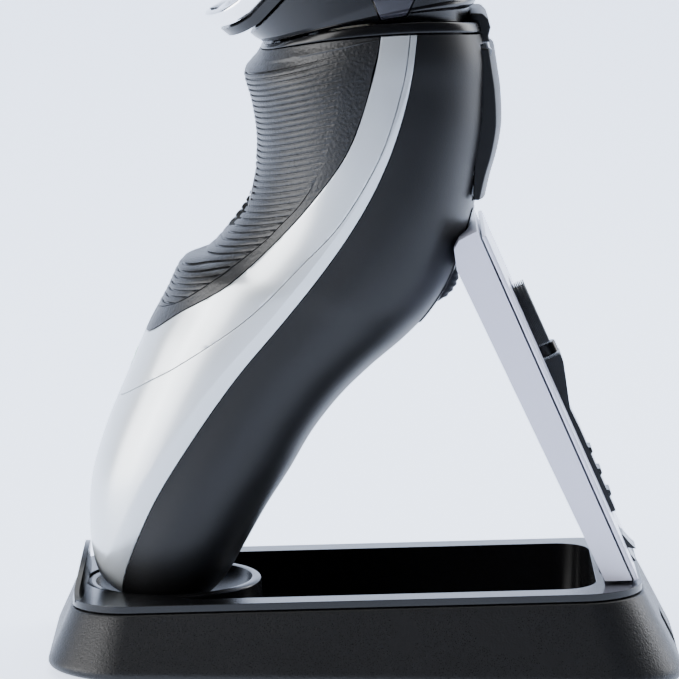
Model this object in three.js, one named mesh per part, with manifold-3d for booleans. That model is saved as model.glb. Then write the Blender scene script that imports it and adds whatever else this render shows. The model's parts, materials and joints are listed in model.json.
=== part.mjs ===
// Three-headed rotary shaver leaning in its folding charging stand, with the cleaning brush
// clipped to the back of the stand's arm. Millimetres, +Z up, +X towards the arm's end of the
// stand, +Y away from the shaver's near side. Origin: under the middle of the stand, on the floor.
import * as THREE from "three";
import { mergeVertices } from "three/addons/utils/BufferGeometryUtils.js";
import Module from "manifold-3d";

const wasm = await Module();
wasm.setup();

// ---------------------------------------------------------------- driving dimensions
const gap = 0.3; // air between two pieces that touch on the real object
const widePrism = 200; // long enough to cut right through anything

const stand = {
  halfLength: 70.4, // at the floor, before the bottom edge is rounded
  halfWidth: 37.5,
  left: -64.8, // top edge of the battered wall
  right: 60.2,
  topHalf: 30.8,
  corner: 13,
  wall: 2,
  rimAtCentre: 18.9, // the rim rises gently towards the arm
  rimSlope: 0.045,
  rimThick: 1.6,
  floorZ: 8,
  floorThick: 1.6,
  bottomZ: 0.8,
  footThick: 0.9,
};
const cup = { x: -42.9, radius: 19.4, bowl: 17.3, depth: 7.0, height: 8.2, drop: 0.3, seatZ: 7.2 };
const lip = { height: 8.4, halfWidth: 22, lean: 0.2 };
const pins = { halfPitch: 4, radius: 1.1, top: 10.75, bottom: 6.5, play: 0.5 };
const screws = { x: [-38, 40], y: [-18, 18] };
const pads = { x: [-52, 50], y: [-24, 24], radius: 5 };

const arm = {
  footFront: [51.6, 21.8],
  footBack: [59.0, 22.15],
  tipBack: [23.9, 97.7],
  tipTop: [22.2, 98.3],
  noseTop: [18.2, 96.1],
  noseFront: [17.2, 94.1],
  noseLow: [17.9, 89.6],
  halfWidth: 20,
  wall: 1.6,
  coverThick: 1.3,
  pivot: [54.6, 17.4],
  tongueHalf: 9,
};
const brush = { low: 13, neck: 33, shoulder: 38, ferrule: 50.2, bristle: 53, tip: 67.4, half: 4 };

// Handle: matching points on the front and rear outlines [x, z], half width across Y.
const stations = [
  { front: [-51.4, 11.3], rear: [-38.8, 11.2], half: 8.4 },
  { front: [-57.0, 14.8], rear: [-34.4, 14.6], half: 13.6 },
  { front: [-60.2, 20.4], rear: [-30.8, 18.8], half: 17.4 },
  { front: [-61.6, 29.0], rear: [-27.2, 25.4], half: 20.0 },
  { front: [-61.2, 40.0], rear: [-22.6, 34.0], half: 21.4 },
  { front: [-58.3, 51.0], rear: [-17.4, 42.6], half: 22.4 },
  { front: [-53.8, 62.5], rear: [-12.6, 51.2], half: 23.2 },
  { front: [-49.4, 73.4], rear: [-6.8, 59.0], half: 23.9 },
  { front: [-45.3, 81.4], rear: [-0.2, 65.8], half: 24.5 },
  { front: [-41.9, 88.2], rear: [7.2, 72.4], half: 25.1 },
  { front: [-36.2, 91.0], rear: [12.6, 78.4], half: 25.7 },
  { front: [-31.2, 96.8], rear: [16.8, 85.6], half: 26.2 },
  { front: [-28.0, 102.5], rear: [19.4, 93.4], half: 26.7 },
  { front: [-26.3, 109.0], rear: [21.7, 101.6], half: 27.1 },
  { front: [-26.0, 116.0], rear: [23.3, 110.4], half: 27.4 },
  { front: [-27.2, 123.5], rear: [24.7, 119.6], half: 27.5 },
  { front: [-28.9, 129.9], rear: [25.0, 128.8], half: 27.4 },
  { front: [-27.6, 133.2], rear: [24.3, 137.6], half: 27.0 },
  { front: [-25.0, 136.3], rear: [22.6, 146.2], half: 25.6 },
];
const squareness = 2.35; // 2 is an ellipse, higher is boxier
const shellThick = 2.6;

// Lines between the covers, seen from the side [x, z], from the neck down to the front edge.
const gripEdge = [[0.5, 150], [0.4, 140], [-1.5, 129.7], [-6, 116], [-13.6, 104.5], [-22, 94.6],
  [-31, 86], [-41.8, 78.8], [-49.6, 72.6], [-60, 66]];
const panelEdge = [[7.0, 150], [6.8, 141], [5.4, 130], [1, 115.2], [-6.8, 100.9], [-15, 91.4],
  [-27, 78.9], [-41.6, 68], [-50.6, 62], [-66, 50]];
const rearEdge = [[8.6, 152], [8.4, 141], [6.5, 126.6], [2, 112], [-5.3, 97.9], [-17.2, 80.9],
  [-29.4, 65.4], [-39.4, 50.6], [-47.2, 37.3], [-52.8, 24], [-55, 16], [-56, 8]];

// Shaving head: a face tilted back from level, three heads on a triangle.
const face = { tilt: 50, centre: [-18.2, 0, 161.2] };
const headSpots = [[-11.3, 0], [9.2, 11.9], [9.2, -11.9]];
const driveX = 2.402; // the point as far from all three heads
const gearDistance = 13.702;
const teeth = { pinion: 16, gear: 24, addendum: 0.45, dedendum: 0.8 };
const level = { bezelBack: -4.5, frameBack: -7, chamberTop: -7.4, coverTop: -17.8, coverBack: -19.3,
  gearTop: -20.4, gearBack: -22.4, trayFloor: -23.4, trayBack: -24.6, motorTop: -25, motorBack: -41 };
const hull = { bezel: 16.2, bezelInner: 12.8, frame: 15.9, holder: 12.4, tray: 9.9, trayInner: 9.0 };
const guard = { radius: 10.8, hole: 11.4, top: 0.9, skirt: -3.6, wall: 0.7 };
const unitHinge = { x: 27.2, z: -8.4, pin: 0.9, knuckle: 2.0, half: 6, ear: 9.6 };

const trimmer = { half: 13, pin: [23.9, 136.3], pinRadius: 0.6, low: 104.0, high: 137.0 };
const slider = { half: 6 };
const button = { radius: 6.5, ring: 8.2, station: 12.05, sunk: 0.7, thick: 2 };

// ---------------------------------------------------------------- colours
const paint = (color, roughness, metalness = 0) =>
  new THREE.MeshStandardMaterial({ color, roughness, metalness });
const finish = {
  grainedBlack: paint(0x1b1b1d, 0.6),
  satinBlack: paint(0x141415, 0.35),
  softBlack: paint(0x1d1d1e, 0.7),
  rubberBlack: paint(0x222222, 0.85),
  silver: paint(0xb4b9bb, 0.35, 0.4),
  lilac: paint(0xc9cbdd, 0.25),
  chrome: paint(0xe8eaec, 0.12, 1),
  steel: paint(0xb0b3b6, 0.3, 1),
  brass: paint(0xc9a35a, 0.35, 1),
  board: paint(0x1f5a37, 0.5),
  darkGrey: paint(0x34343a, 0.45),
  nylon: paint(0xe8e4da, 0.5),
  lens: paint(0x9fd6a8, 0.1),
};

// ---------------------------------------------------------------- small tools
const group = new THREE.Group();
const radians = THREE.MathUtils.degToRad;

function place(name, geometry, material, parent = group) {
  const mesh = new THREE.Mesh(geometry, material);
  mesh.name = name;
  parent.add(mesh);
  return mesh;
}

// A geometry's closed surface, its faces turned outwards, as a solid that can be cut and joined.
function solidOf(geometry) {
  const bare = geometry.clone();
  bare.deleteAttribute("normal");
  bare.deleteAttribute("uv");
  const merged = mergeVertices(bare, 1e-4);
  const place3 = merged.attributes.position;
  const [a, b, c] = [new THREE.Vector3(), new THREE.Vector3(), new THREE.Vector3()];
  const triangles = [];
  let volume = 0;
  for (let i = 0; i < merged.index.count; i += 3) {
    const corners = [0, 1, 2].map((k) => merged.index.getX(i + k));
    if (new Set(corners).size < 3) continue;
    [a, b, c].forEach((v, k) => v.fromBufferAttribute(place3, corners[k]));
    volume += a.dot(b.clone().cross(c));
    triangles.push(corners);
  }
  if (volume < 0) triangles.forEach((t) => t.reverse());
  return new wasm.Manifold(new wasm.Mesh({
    numProp: 3,
    vertProperties: Float32Array.from(place3.array),
    triVerts: Uint32Array.from(triangles.flat()),
  }));
}

function geometryOf(solid) {
  const mesh = solid.getMesh();
  const geometry = new THREE.BufferGeometry();
  geometry.setAttribute("position", new THREE.BufferAttribute(mesh.vertProperties, 3));
  geometry.setIndex(new THREE.BufferAttribute(mesh.triVerts, 1));
  geometry.computeVertexNormals();
  return geometry;
}

const join = (...solids) => solids.reduce((whole, next) => whole.add(next));
const cut = (solid, ...tools) => tools.reduce((left, tool) => left.subtract(tool), solid);

// A tube of rings: at(t, k) gives the point on ring t (0 to 1), spoke k (0 to 1); the ends are flat.
function loft(spokes, rings, at) {
  const geometry = new THREE.CylinderGeometry(1, 1, 1, spokes, rings);
  const spots = geometry.attributes.position;
  const middle = (t) => {
    const sum = new THREE.Vector3();
    for (let k = 0; k < spokes; k += 1) sum.add(at(t, k / spokes));
    return sum.divideScalar(spokes);
  };
  for (let i = 0; i < spots.count; i += 1) {
    const [x, y, z] = [spots.getX(i), spots.getY(i), spots.getZ(i)];
    const t = y + 0.5;
    const spoke = Math.round((Math.atan2(-z, x) / (2 * Math.PI)) * spokes + spokes) % spokes;
    const spot = Math.hypot(x, z) < 0.5 ? middle(t) : at(t, spoke / spokes);
    spots.setXYZ(i, spot.x, spot.y, spot.z);
  }
  return solidOf(geometry);
}

const shapeOf = (points) => new THREE.Shape(points.map(([x, y]) => new THREE.Vector2(x, y)));

// A side-view outline [x, z] made into a slab across Y.
function slab(points, from, to) {
  const geometry = new THREE.ExtrudeGeometry(shapeOf(points), { depth: to - from, bevelEnabled: false });
  geometry.rotateX(Math.PI / 2);
  geometry.translate(0, to, 0);
  return solidOf(geometry);
}

// A plan outline made into a plate between two heights.
function plate(shape, low, high, curveSegments = 5) {
  const depth = high - low;
  const geometry = new THREE.ExtrudeGeometry(shape, { depth, bevelEnabled: false, curveSegments });
  geometry.translate(0, 0, low);
  return solidOf(geometry);
}

function turned(profile, segments = 24) {
  const geometry = new THREE.LatheGeometry(profile.map(([r, z]) => new THREE.Vector2(r, z)), segments);
  geometry.rotateX(Math.PI / 2);
  return solidOf(geometry);
}

// A round bar between two points.
function bar(start, end, radius, segments = 12) {
  const [a, b] = [new THREE.Vector3(...start), new THREE.Vector3(...end)];
  const geometry = new THREE.CylinderGeometry(radius, radius, a.distanceTo(b), segments);
  const turn = new THREE.Quaternion().setFromUnitVectors(
    new THREE.Vector3(0, 1, 0), b.clone().sub(a).normalize());
  geometry.applyQuaternion(turn);
  geometry.translate(...a.add(b).multiplyScalar(0.5).toArray());
  return solidOf(geometry);
}

function block(low, high) {
  const size = high.map((value, i) => value - low[i]);
  const geometry = new THREE.BoxGeometry(...size);
  geometry.translate(...low.map((value, i) => value + size[i] / 2));
  return solidOf(geometry);
}

// Points round a rectangle with round corners, the same count in the same order at any size.
const cornerSteps = 5;
function rectanglePoints(left, right, half, radius) {
  const centres = [[right - radius, half - radius], [left + radius, half - radius],
    [left + radius, radius - half], [right - radius, radius - half]];
  return centres.flatMap(([x, y], quarter) => {
    const points = [];
    for (let i = 0; i <= cornerSteps; i += 1) {
      const angle = ((quarter + i / cornerSteps) * Math.PI) / 2;
      points.push(new THREE.Vector2(x + radius * Math.cos(angle), y + radius * Math.sin(angle)));
    }
    return points;
  });
}
const roundedRectangle = (...sizes) => new THREE.Shape(rectanglePoints(...sizes));
const outlineSpokes = 4 * (cornerSteps + 1);

// The outline round three equal circles, as a plate; the three circles sit at the three heads.
function threeCircleHull(radius) {
  const [low, right, left] = headSpots;
  const slope = Math.atan2(right[1], right[0] - low[0]) + Math.PI / 2;
  const shape = new THREE.Shape();
  shape.absarc(left[0], left[1], radius, -slope, 0);
  shape.absarc(right[0], right[1], radius, 0, slope);
  shape.absarc(low[0], low[1], radius, slope, 2 * Math.PI - slope);
  return shape;
}

// ---------------------------------------------------------------- stand
const rimZ = (x) => stand.rimAtCentre + stand.rimSlope * x;

// The battered wall, moved inwards by `inset`: rise 0 is its bottom edge, 1 its top edge; the inside
// runs past both ends so that it cuts right through.
const outerRises = [0, 0.03, 0.12, 1];
const innerRises = [-0.12, 0.03, 0.12, 1.4];
const edgeRound = [2.6, 0.9, 0, 0]; // how far each ring draws in to round the bottom edge
function standWall(inset, rises) {
  const { lerp } = THREE.MathUtils;
  return loft(outlineSpokes, rises.length - 1, (t, k) => {
    const step = Math.round(t * (rises.length - 1));
    const rise = rises[step];
    const shrink = inset + edgeRound[step];
    const spot = rectanglePoints(
      lerp(-stand.halfLength, stand.left, rise) + shrink,
      lerp(stand.halfLength, stand.right, rise) - shrink,
      lerp(stand.halfWidth, stand.topHalf, rise) - shrink,
      lerp(stand.corner + 4, stand.corner, rise) - inset)[Math.round(k * outlineSpokes)];
    return new THREE.Vector3(spot.x, spot.y, lerp(stand.bottomZ, rimZ(spot.x) - stand.rimThick - gap, rise));
  });
}

// A plate that follows the sloping rim, between two depths below it.
function rimPlate(inset, low, high, radius = stand.corner - inset) {
  return loft(outlineSpokes, 1, (t, k) => {
    const outline = rectanglePoints(stand.left + inset, stand.right - inset, stand.topHalf - inset, radius);
    const spot = outline[Math.round(k * outlineSpokes)];
    return new THREE.Vector3(spot.x, spot.y, rimZ(spot.x) + (t > 0.5 ? high : low));
  });
}

function standBase() {
  const inletHole = block([56, -5.3, 3.3], [80, 5.3, 10.7]);
  return cut(standWall(0, outerRises), standWall(stand.wall, innerRises), inletHole);
}

function retainingLip() {
  const geometry = new THREE.BoxGeometry(1, 2, 1, 1, 16, 4);
  const spots = geometry.attributes.position;
  for (let i = 0; i < spots.count; i += 1) {
    const across = spots.getY(i);
    const y = across * lip.halfWidth;
    const past = Math.max(Math.abs(y) - (stand.topHalf - stand.corner), 0);
    const edge = stand.left + 0.4 + stand.corner - Math.sqrt(stand.corner ** 2 - past ** 2);
    const up = spots.getZ(i) + 0.5;
    const height = lip.height * Math.cos((across * Math.PI) / 2) ** 1.1 * up;
    const thick = THREE.MathUtils.lerp(2.6, 1.0, up);
    const x = edge + lip.lean * height + (spots.getX(i) + 0.5) * thick;
    spots.setXYZ(i, x, y, rimZ(edge) - 0.6 + height + 0.6 * up);
  }
  return solidOf(geometry);
}

function standTray() {
  const rim = rimPlate(0.4, -stand.rimThick, 0);
  const tubOutline = roundedRectangle(-60.4, 51.6, 26.2, 10);
  const recessOutline = roundedRectangle(cup.x, 49.8, 24.6, 8);
  const well = (radius, low) => bar([cup.x, 0, low], [cup.x, 0, 60], radius, 28);
  const tubLow = stand.floorZ - stand.floorThick;
  const tub = plate(tubOutline, tubLow, 20).add(well(cup.radius + 2, tubLow));
  const recess = plate(recessOutline, stand.floorZ, 60).add(well(cup.radius + gap, cup.seatZ));
  const deckUnder = plate(roundedRectangle(-58.6, cup.x - 1, 24.2, 7), -5, 12.6);
  const underDeck = cut(deckUnder, well(cup.radius + 2, -6));
  const bosses = screws.x.flatMap((x) => screws.y.map((y) => bar([x, y, 3.2], [x, y, 7], 3, 8)));
  const landBlock = block([49.5, -17, 13], [57.6, 17, rimZ(54) - 0.8]);
  const slot = block([51, -arm.tongueHalf - 0.4, 12], [58.2, arm.tongueHalf + 0.4, 40]);
  const pinHole = bar([arm.pivot[0], -16, arm.pivot[1]], [arm.pivot[0], 16, arm.pivot[1]], 1.5);
  const holes = screws.x.flatMap((x) => screws.y.map((y) => bar([x, y, 2], [x, y, 6.4], 1.5, 8)));
  const pinSlots = [-1, 1].map((side) => bar(
    [cup.x, side * pins.halfPitch, 4], [cup.x, side * pins.halfPitch, 10], pins.radius + pins.play));
  const body = join(rim, tub.intersect(rimPlate(2, -30, -0.2)), landBlock, ...bosses);
  return cut(join(body, retainingLip()), recess, underDeck, slot, pinHole, ...holes, ...pinSlots,
    handleLoft(0.45, 0, 5));
}

function footCup() {
  const bowl = [];
  for (let i = 0; i <= 6; i += 1) {
    const angle = (i / 6) * (Math.PI / 2);
    bowl.push([cup.bowl * Math.cos(angle), -cup.depth * Math.sin(angle)]);
  }
  bowl[6][0] = 0;
  const body = turned([[0, -cup.height], [cup.radius, -cup.height], [cup.radius, -0.8],
    [cup.radius - 0.8, 0], ...bowl], 28);
  const pinSlots = [-1, 1].map((side) => bar(
    [0, side * pins.halfPitch, -20], [0, side * pins.halfPitch, 0], pins.radius + pins.play));
  return cut(body, ...pinSlots);
}

function baseCover() {
  const shape = roundedRectangle(-65.4, 65.4, 32.9, 14.5);
  const sheet = plate(shape, 1.2, 2.8);
  const holes = screws.x.flatMap((x) => screws.y.flatMap((y) => [
    bar([x, y, 0], [x, y, 4], 1.5, 8), bar([x, y, 0], [x, y, 2.0], 3.0, 12)]));
  return cut(sheet, ...holes);
}

function standScrew(x, y) {
  return join(bar([x, y, 1.3], [x, y, 1.75], 2.6), bar([x, y, 1.6], [x, y, 6.0], 1.1, 8));
}

function powerInlet() {
  const shell = block([57, -5, 3.6], [65.0, 5, 10.4]);
  return cut(shell, block([59, -3.8, 4.5], [70, 3.8, 9.5]));
}

function buildStand() {
  place("stand_base", geometryOf(standBase()), finish.grainedBlack);
  place("stand_tray", geometryOf(standTray()), finish.satinBlack);
  const cupMesh = place("foot_cup", geometryOf(footCup()), finish.satinBlack);
  cupMesh.position.set(cup.x, 0, rimZ(cup.x) - cup.drop);
  cupMesh.rotation.y = -Math.atan(stand.rimSlope);
  place("base_cover", geometryOf(baseCover()), finish.softBlack);
  pads.x.forEach((x, i) => pads.y.forEach((y, j) => {
    place(`rubber_foot_${2 * i + j + 1}`, geometryOf(bar([x, y, 0], [x, y, stand.footThick], pads.radius)),
      finish.rubberBlack);
  }));
  screws.x.forEach((x, i) => screws.y.forEach((y, j) => {
    place(`base_screw_${2 * i + j + 1}`, geometryOf(standScrew(x, y)), finish.steel);
  }));
  ["near", "far"].forEach((side, i) => {
    const y = (2 * i - 1) * pins.halfPitch;
    place(`charge_pin_${side}`, geometryOf(bar([cup.x, y, pins.bottom], [cup.x, y, pins.top], pins.radius)),
      finish.brass);
  });
  place("stand_board", geometryOf(block([-54, -11, 3.9], [-32, 11, 5.2])), finish.board);
  place("power_inlet", geometryOf(powerInlet()), finish.softBlack);
}

// ---------------------------------------------------------------- arm and brush
const armRun = new THREE.Vector2(arm.tipBack[0] - arm.footBack[0], arm.tipBack[1] - arm.footBack[1]);
const armLength = armRun.length();
const armUp = armRun.clone().normalize();
const armOut = new THREE.Vector2(armUp.y, -armUp.x);
// A point `along` the arm's back from its foot and `out` from its surface, in the side view.
const onArm = (along, out) => [
  arm.footBack[0] + armUp.x * along + armOut.x * out,
  arm.footBack[1] + armUp.y * along + armOut.y * out,
];
const armSlab = (outline, from, to) => slab(outline.map(([along, out]) => onArm(along, out)), from, to);

function supportArm() {
  const outline = [arm.footFront, arm.footBack, arm.tipBack, arm.tipTop, arm.noseTop, arm.noseFront,
    arm.noseLow];
  const body = slab(outline, -arm.halfWidth, arm.halfWidth);
  const half = arm.halfWidth - arm.wall;
  const hollow = armSlab([[3, -5.2], [3, 2], [armLength - 7, 2], [armLength - 7, -4.6]], -half, half);
  const coverSeat = armSlab([[-4, -arm.coverThick - 0.1], [-4, 9], [armLength + 9, 9],
    [armLength + 9, -arm.coverThick - 0.1]], -30, 30);
  const [px, pz] = arm.pivot;
  const tongue = slab([[px - 2.6, pz], [px + 2.6, pz], [px + 2.6, 23], [px - 2.6, 24]],
    -arm.tongueHalf, arm.tongueHalf);
  const eye = bar([px, -arm.tongueHalf, pz], [px, arm.tongueHalf, pz], 2.6);
  const bore = bar([px, -20, pz], [px, 20, pz], 1.5);
  return cut(join(cut(body, hollow, coverSeat), tongue, eye), bore, handleLoft(0.5, 8, 15));
}

function armCover() {
  const skin = armSlab([[0.2, -arm.coverThick + gap], [0.2, 0], [armLength - 0.3, 0],
    [armLength - 0.3, -arm.coverThick + gap]], -arm.halfWidth, arm.halfWidth);
  const trough = armSlab([[9.5, -3.1], [9.5, -0.4], [70.5, -0.4], [70.5, -3.1]], -6.6, 6.6);
  const channel = armSlab([[11.5, -1.7], [11.5, 3], [69, 3], [69, -1.7]], -5.2, 5.2);
  const latchSlot = armSlab([[0.0, -2], [0.0, 3], [8.6, 3], [8.6, -2]], -4.3, 4.3);
  return cut(join(skin, trough), channel, latchSlot);
}

function armLatch() {
  return armSlab([[0.8, -1.0], [0.8, 0.6], [2.6, 0.1], [4.2, 0.1], [3.2, 1.7], [4.8, 1.0], [7.2, 0.3],
    [8.2, -1.0]], -4, 4);
}

function brushHandle() {
  const outline = [[brush.low, -1.3], [brush.low, 1.0], [brush.neck, 1.1], [brush.shoulder, 0.9],
    [48, 3.7], [brush.ferrule - 0.2, 3.8], [brush.ferrule - 0.2, -0.9], [brush.shoulder, -1.3]];
  return armSlab(outline, -brush.half, brush.half);
}

function brushFerrule() {
  const [x0, z0] = onArm(brush.ferrule + 0.1, 1.35);
  const [x1, z1] = onArm(brush.bristle, 1.35);
  return bar([x0, 0, z0], [x1, 0, z1], 2.4);
}

function brushBristles() {
  const start = brush.bristle + gap;
  return armSlab([[start, -0.6], [start, 2.6], [brush.tip, 2.2], [brush.tip, -0.9]], -4.4, 4.4);
}

function buildArm() {
  place("support_arm", geometryOf(supportArm()), finish.lilac);
  place("arm_back_cover", geometryOf(armCover()), finish.lilac);
  const [px, pz] = arm.pivot;
  place("arm_hinge_pin", geometryOf(bar([px, -15.5, pz], [px, 15.5, pz], 1.2)), finish.steel);
  place("arm_latch", geometryOf(armLatch()), finish.satinBlack);
  place("brush_handle", geometryOf(brushHandle()), finish.satinBlack);
  place("brush_ferrule", geometryOf(brushFerrule()), finish.satinBlack);
  place("brush_bristles", geometryOf(brushBristles()), finish.nylon);
}

// ---------------------------------------------------------------- handle
const frontCurve = new THREE.CatmullRomCurve3(
  stations.map(({ front, half }) => new THREE.Vector3(front[0], half, front[1])));
const rearCurve = new THREE.CatmullRomCurve3(
  stations.map(({ rear, half }) => new THREE.Vector3(rear[0], half, rear[1])));
const lastStation = stations.length - 1;
const handleSpokes = 20;

// A point on the handle's skin moved out by `offset`: station from 0 at the foot to the last at
// the neck, angle 0 at the rear, half a turn at the front.
function skinPoint(station, angle, offset = 0) {
  const t = THREE.MathUtils.clamp(station / lastStation, 0, 1);
  const front = frontCurve.getPoint(t);
  const rear = rearCurve.getPoint(t);
  const half = front.y + offset;
  front.y = 0;
  rear.y = 0;
  const across = rear.clone().sub(front);
  const reach = across.length() / 2 + offset;
  across.normalize();
  const [c, s] = [Math.cos(angle), Math.sin(angle)];
  const along = Math.sign(c) * Math.abs(c) ** (2 / squareness) * reach;
  const side = Math.sign(s) * Math.abs(s) ** (2 / squareness) * half;
  return front.add(rear).multiplyScalar(0.5).addScaledVector(across, along).setY(side);
}

function handleLoft(offset, from, to) {
  return loft(handleSpokes, Math.ceil(to - from), (t, k) =>
    skinPoint(THREE.MathUtils.lerp(from, to, t), k * 2 * Math.PI, offset));
}

// Everything in front of (above) one edge line and behind (below) the next, as a slab.
function between(upper, lower) {
  return slab([...upper, ...lower.slice().reverse()], -widePrism / 2, widePrism / 2);
}
// An edge line moved sideways by a small distance, away from the front.
function shifted(line, distance) {
  return line.map(([x, z], i) => {
    const before = line[Math.max(i - 1, 0)];
    const after = line[Math.min(i + 1, line.length - 1)];
    const run = new THREE.Vector2(after[0] - before[0], after[1] - before[1]).normalize();
    return [x - run.y * distance, z + run.x * distance];
  });
}
const farFront = [[-120, 150], [-120, 66]];
const farRear = [[120, 152], [120, 0], [-56, 0]];

const rearAt = (z) => {
  for (let station = 0; station < lastStation; station += 0.1) {
    if (skinPoint(station, 0).z >= z) return skinPoint(station, 0).x;
  }
  return stations[lastStation].rear[0];
};

function trimmerZone(margin, outward, topMargin = margin) {
  const outer = [[23.9, 103.4], [25.1, 109], [26.3, 113.5], [27.1, 118], [27.3, 121.7], [26.9, 127.6],
    [26.2, 132], [25.2, trimmer.high]].map(([x, z]) => [x + outward, z]);
  outer[0][1] = trimmer.low - margin;
  outer[outer.length - 1][1] = trimmer.high + topMargin;
  return slab([[12, trimmer.low - margin], ...outer, [12, trimmer.high + topMargin]],
    -trimmer.half - margin, trimmer.half + margin);
}

function sliderZone(low, high, margin, half) {
  const rim = [];
  for (let z = low; z <= high + 0.01; z += (high - low) / 4) rim.push([rearAt(z) + 6, z - 4]);
  const inner = rim.map(([x, z]) => [x - 14, z + 8]).reverse();
  const first = rim[0];
  const last = rim[rim.length - 1];
  rim.unshift([first[0] - margin * 0.6, first[1] - margin]);
  rim.push([last[0] + margin * 0.3, last[1] + margin]);
  inner.unshift([last[0] - 14, last[1] + 8 + margin]);
  inner.push([first[0] - 14, first[1] + 8 - margin]);
  return slab([...rim, ...inner], -half - margin, half + margin);
}

const buttonFrame = (() => {
  const spot = skinPoint(button.station, Math.PI);
  const back = skinPoint(button.station, 0).sub(spot).normalize();
  return { spot, back };
})();
const buttonPoint = (depth) => buttonFrame.spot.clone().addScaledVector(buttonFrame.back, depth).toArray();

const lensFrame = (() => {
  const spot = skinPoint(6.35, Math.PI);
  const back = skinPoint(6.35, 0).sub(spot).normalize();
  return { spot, back };
})();
const lensPoint = (depth) => lensFrame.spot.clone().addScaledVector(lensFrame.back, depth).toArray();

function buildHandleShells() {
  const shell = cut(handleLoft(0, 0, lastStation), handleLoft(-shellThick, 1, lastStation),
    slab([[-80, 160], [-80, 136.0], [-25, 136.35], [22.6, 146.25], [60, 154.1], [60, 180]], -60, 60));
  const open = handleLoft(-shellThick, lastStation - 1, lastStation).add(
    loft(handleSpokes, 1, (t, k) => skinPoint(lastStation, k * 2 * Math.PI, -shellThick)
      .add(new THREE.Vector3(-0.2 * 8 * t, 0, 8 * t))));
  const body = cut(shell, open);
  const socketHole = block([-49.6, -6.9, 5], [-39.4, 6.9, 15.4]);
  const half = gap / 2;

  const gripRegion = between(shifted(gripEdge, -half), farFront);
  const grip = cut(body.intersect(gripRegion),
    bar(buttonPoint(-6), buttonPoint(8), button.ring + gap, 28));
  place("rubber_grip", geometryOf(grip), finish.rubberBlack);

  const panelRegion = between(shifted(gripEdge, half), shifted(panelEdge, -half));
  const panel = cut(body.intersect(panelRegion), bar(lensPoint(-5), lensPoint(6), 2.5 + gap, 16));
  place("upper_front_panel", geometryOf(panel), finish.silver);

  const lowerRegion = between(shifted(panelEdge, half), shifted(rearEdge, -half));
  place("lower_front_shell", geometryOf(cut(body.intersect(lowerRegion), socketHole)), finish.silver);

  const rearRegion = between(shifted(rearEdge, half), farRear);
  const lidPocket = cut(trimmerZone(gap, 4, 0.9), handleLoft(-1.9, 12, lastStation));
  const pinBore = bar([trimmer.pin[0], -14.6, trimmer.pin[1]], [trimmer.pin[0], 14.6, trimmer.pin[1]], 0.9);
  const trackPocket = cut(sliderZone(76, 101, gap, 8), handleLoft(-1.2, 8, 15));
  const rear = cut(body.intersect(rearRegion), socketHole, lidPocket, pinBore, trackPocket);
  place("rear_shell", geometryOf(rear), finish.softBlack);
}

function buildHandleTrim() {
  const top = button.sunk;
  const ring = bar(buttonPoint(top), buttonPoint(top + button.thick), button.ring, 28);
  place("button_ring", geometryOf(cut(ring, bar(buttonPoint(-5), buttonPoint(6), button.radius + gap, 28))),
    finish.darkGrey);
  place("power_button", geometryOf(bar(buttonPoint(top), buttonPoint(top + button.thick), button.radius, 28)),
    finish.silver);
  place("charge_light", geometryOf(bar(lensPoint(0.1), lensPoint(2.4), 2.5, 16)), finish.lens);
  place("charge_socket", geometryOf(cut(block([-49.2, -6.5, 11.3], [-39.8, 6.5, 16.6]),
    block([-46, -5.4, 10], [-42, -2.6, 13]), block([-46, 2.6, 10], [-42, 5.4, 13]))), finish.softBlack);
  const track = cut(handleLoft(0.5, 8, 15).intersect(sliderZone(76, 101, 0, 8)), handleLoft(-0.9, 8, 15),
    sliderZone(76.5, 87.5, gap, slider.half));
  place("slider_track", geometryOf(track), finish.satinBlack);
  const thumbZone = sliderZone(79.5, 86.5, 0, slider.half);
  const thumb = cut(handleLoft(1.5, 8, 15).intersect(thumbZone), handleLoft(-0.5, 8, 15));
  place("trimmer_slider", geometryOf(thumb), finish.softBlack);
}

function buildTrimmer() {
  const skin = handleLoft(2.6, 12, lastStation).intersect(trimmerZone(0, 0));
  const [px, pz] = trimmer.pin;
  const hollow = slab([[10, 100], [22.4, 100], [23.9, 108], [24.7, 112.5], [10, 113]], -11.4, 11.4);
  const pinBore = bar([px, -20, pz], [px, 20, pz], 0.9);
  const lid = cut(skin, handleLoft(-1.5, 12, lastStation), hollow, pinBore);
  place("trimmer_lid", geometryOf(lid), finish.softBlack);
  place("trimmer_pin", geometryOf(bar([px, -14.2, pz], [px, 14.2, pz], trimmer.pinRadius, 12)), finish.steel);
  place("trimmer_comb", geometryOf(slab(trimmerBlade(0.95), -11, 11)), finish.steel);
  place("trimmer_cutter", geometryOf(slab(trimmerBlade(1.85), -9.8, 9.8)), finish.steel);
}

// One thin blade lying along the inside of the trimmer lid's free end, `depth` below its skin.
function trimmerBlade(depth) {
  const thick = 0.6;
  const line = [[23.2, trimmer.low + 0.6], [25.2, 112]];
  return [[line[0][0] - depth, line[0][1]], [line[1][0] - depth, line[1][1]],
    [line[1][0] - depth - thick, line[1][1]], [line[0][0] - depth - thick, line[0][1]]];
}

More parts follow.
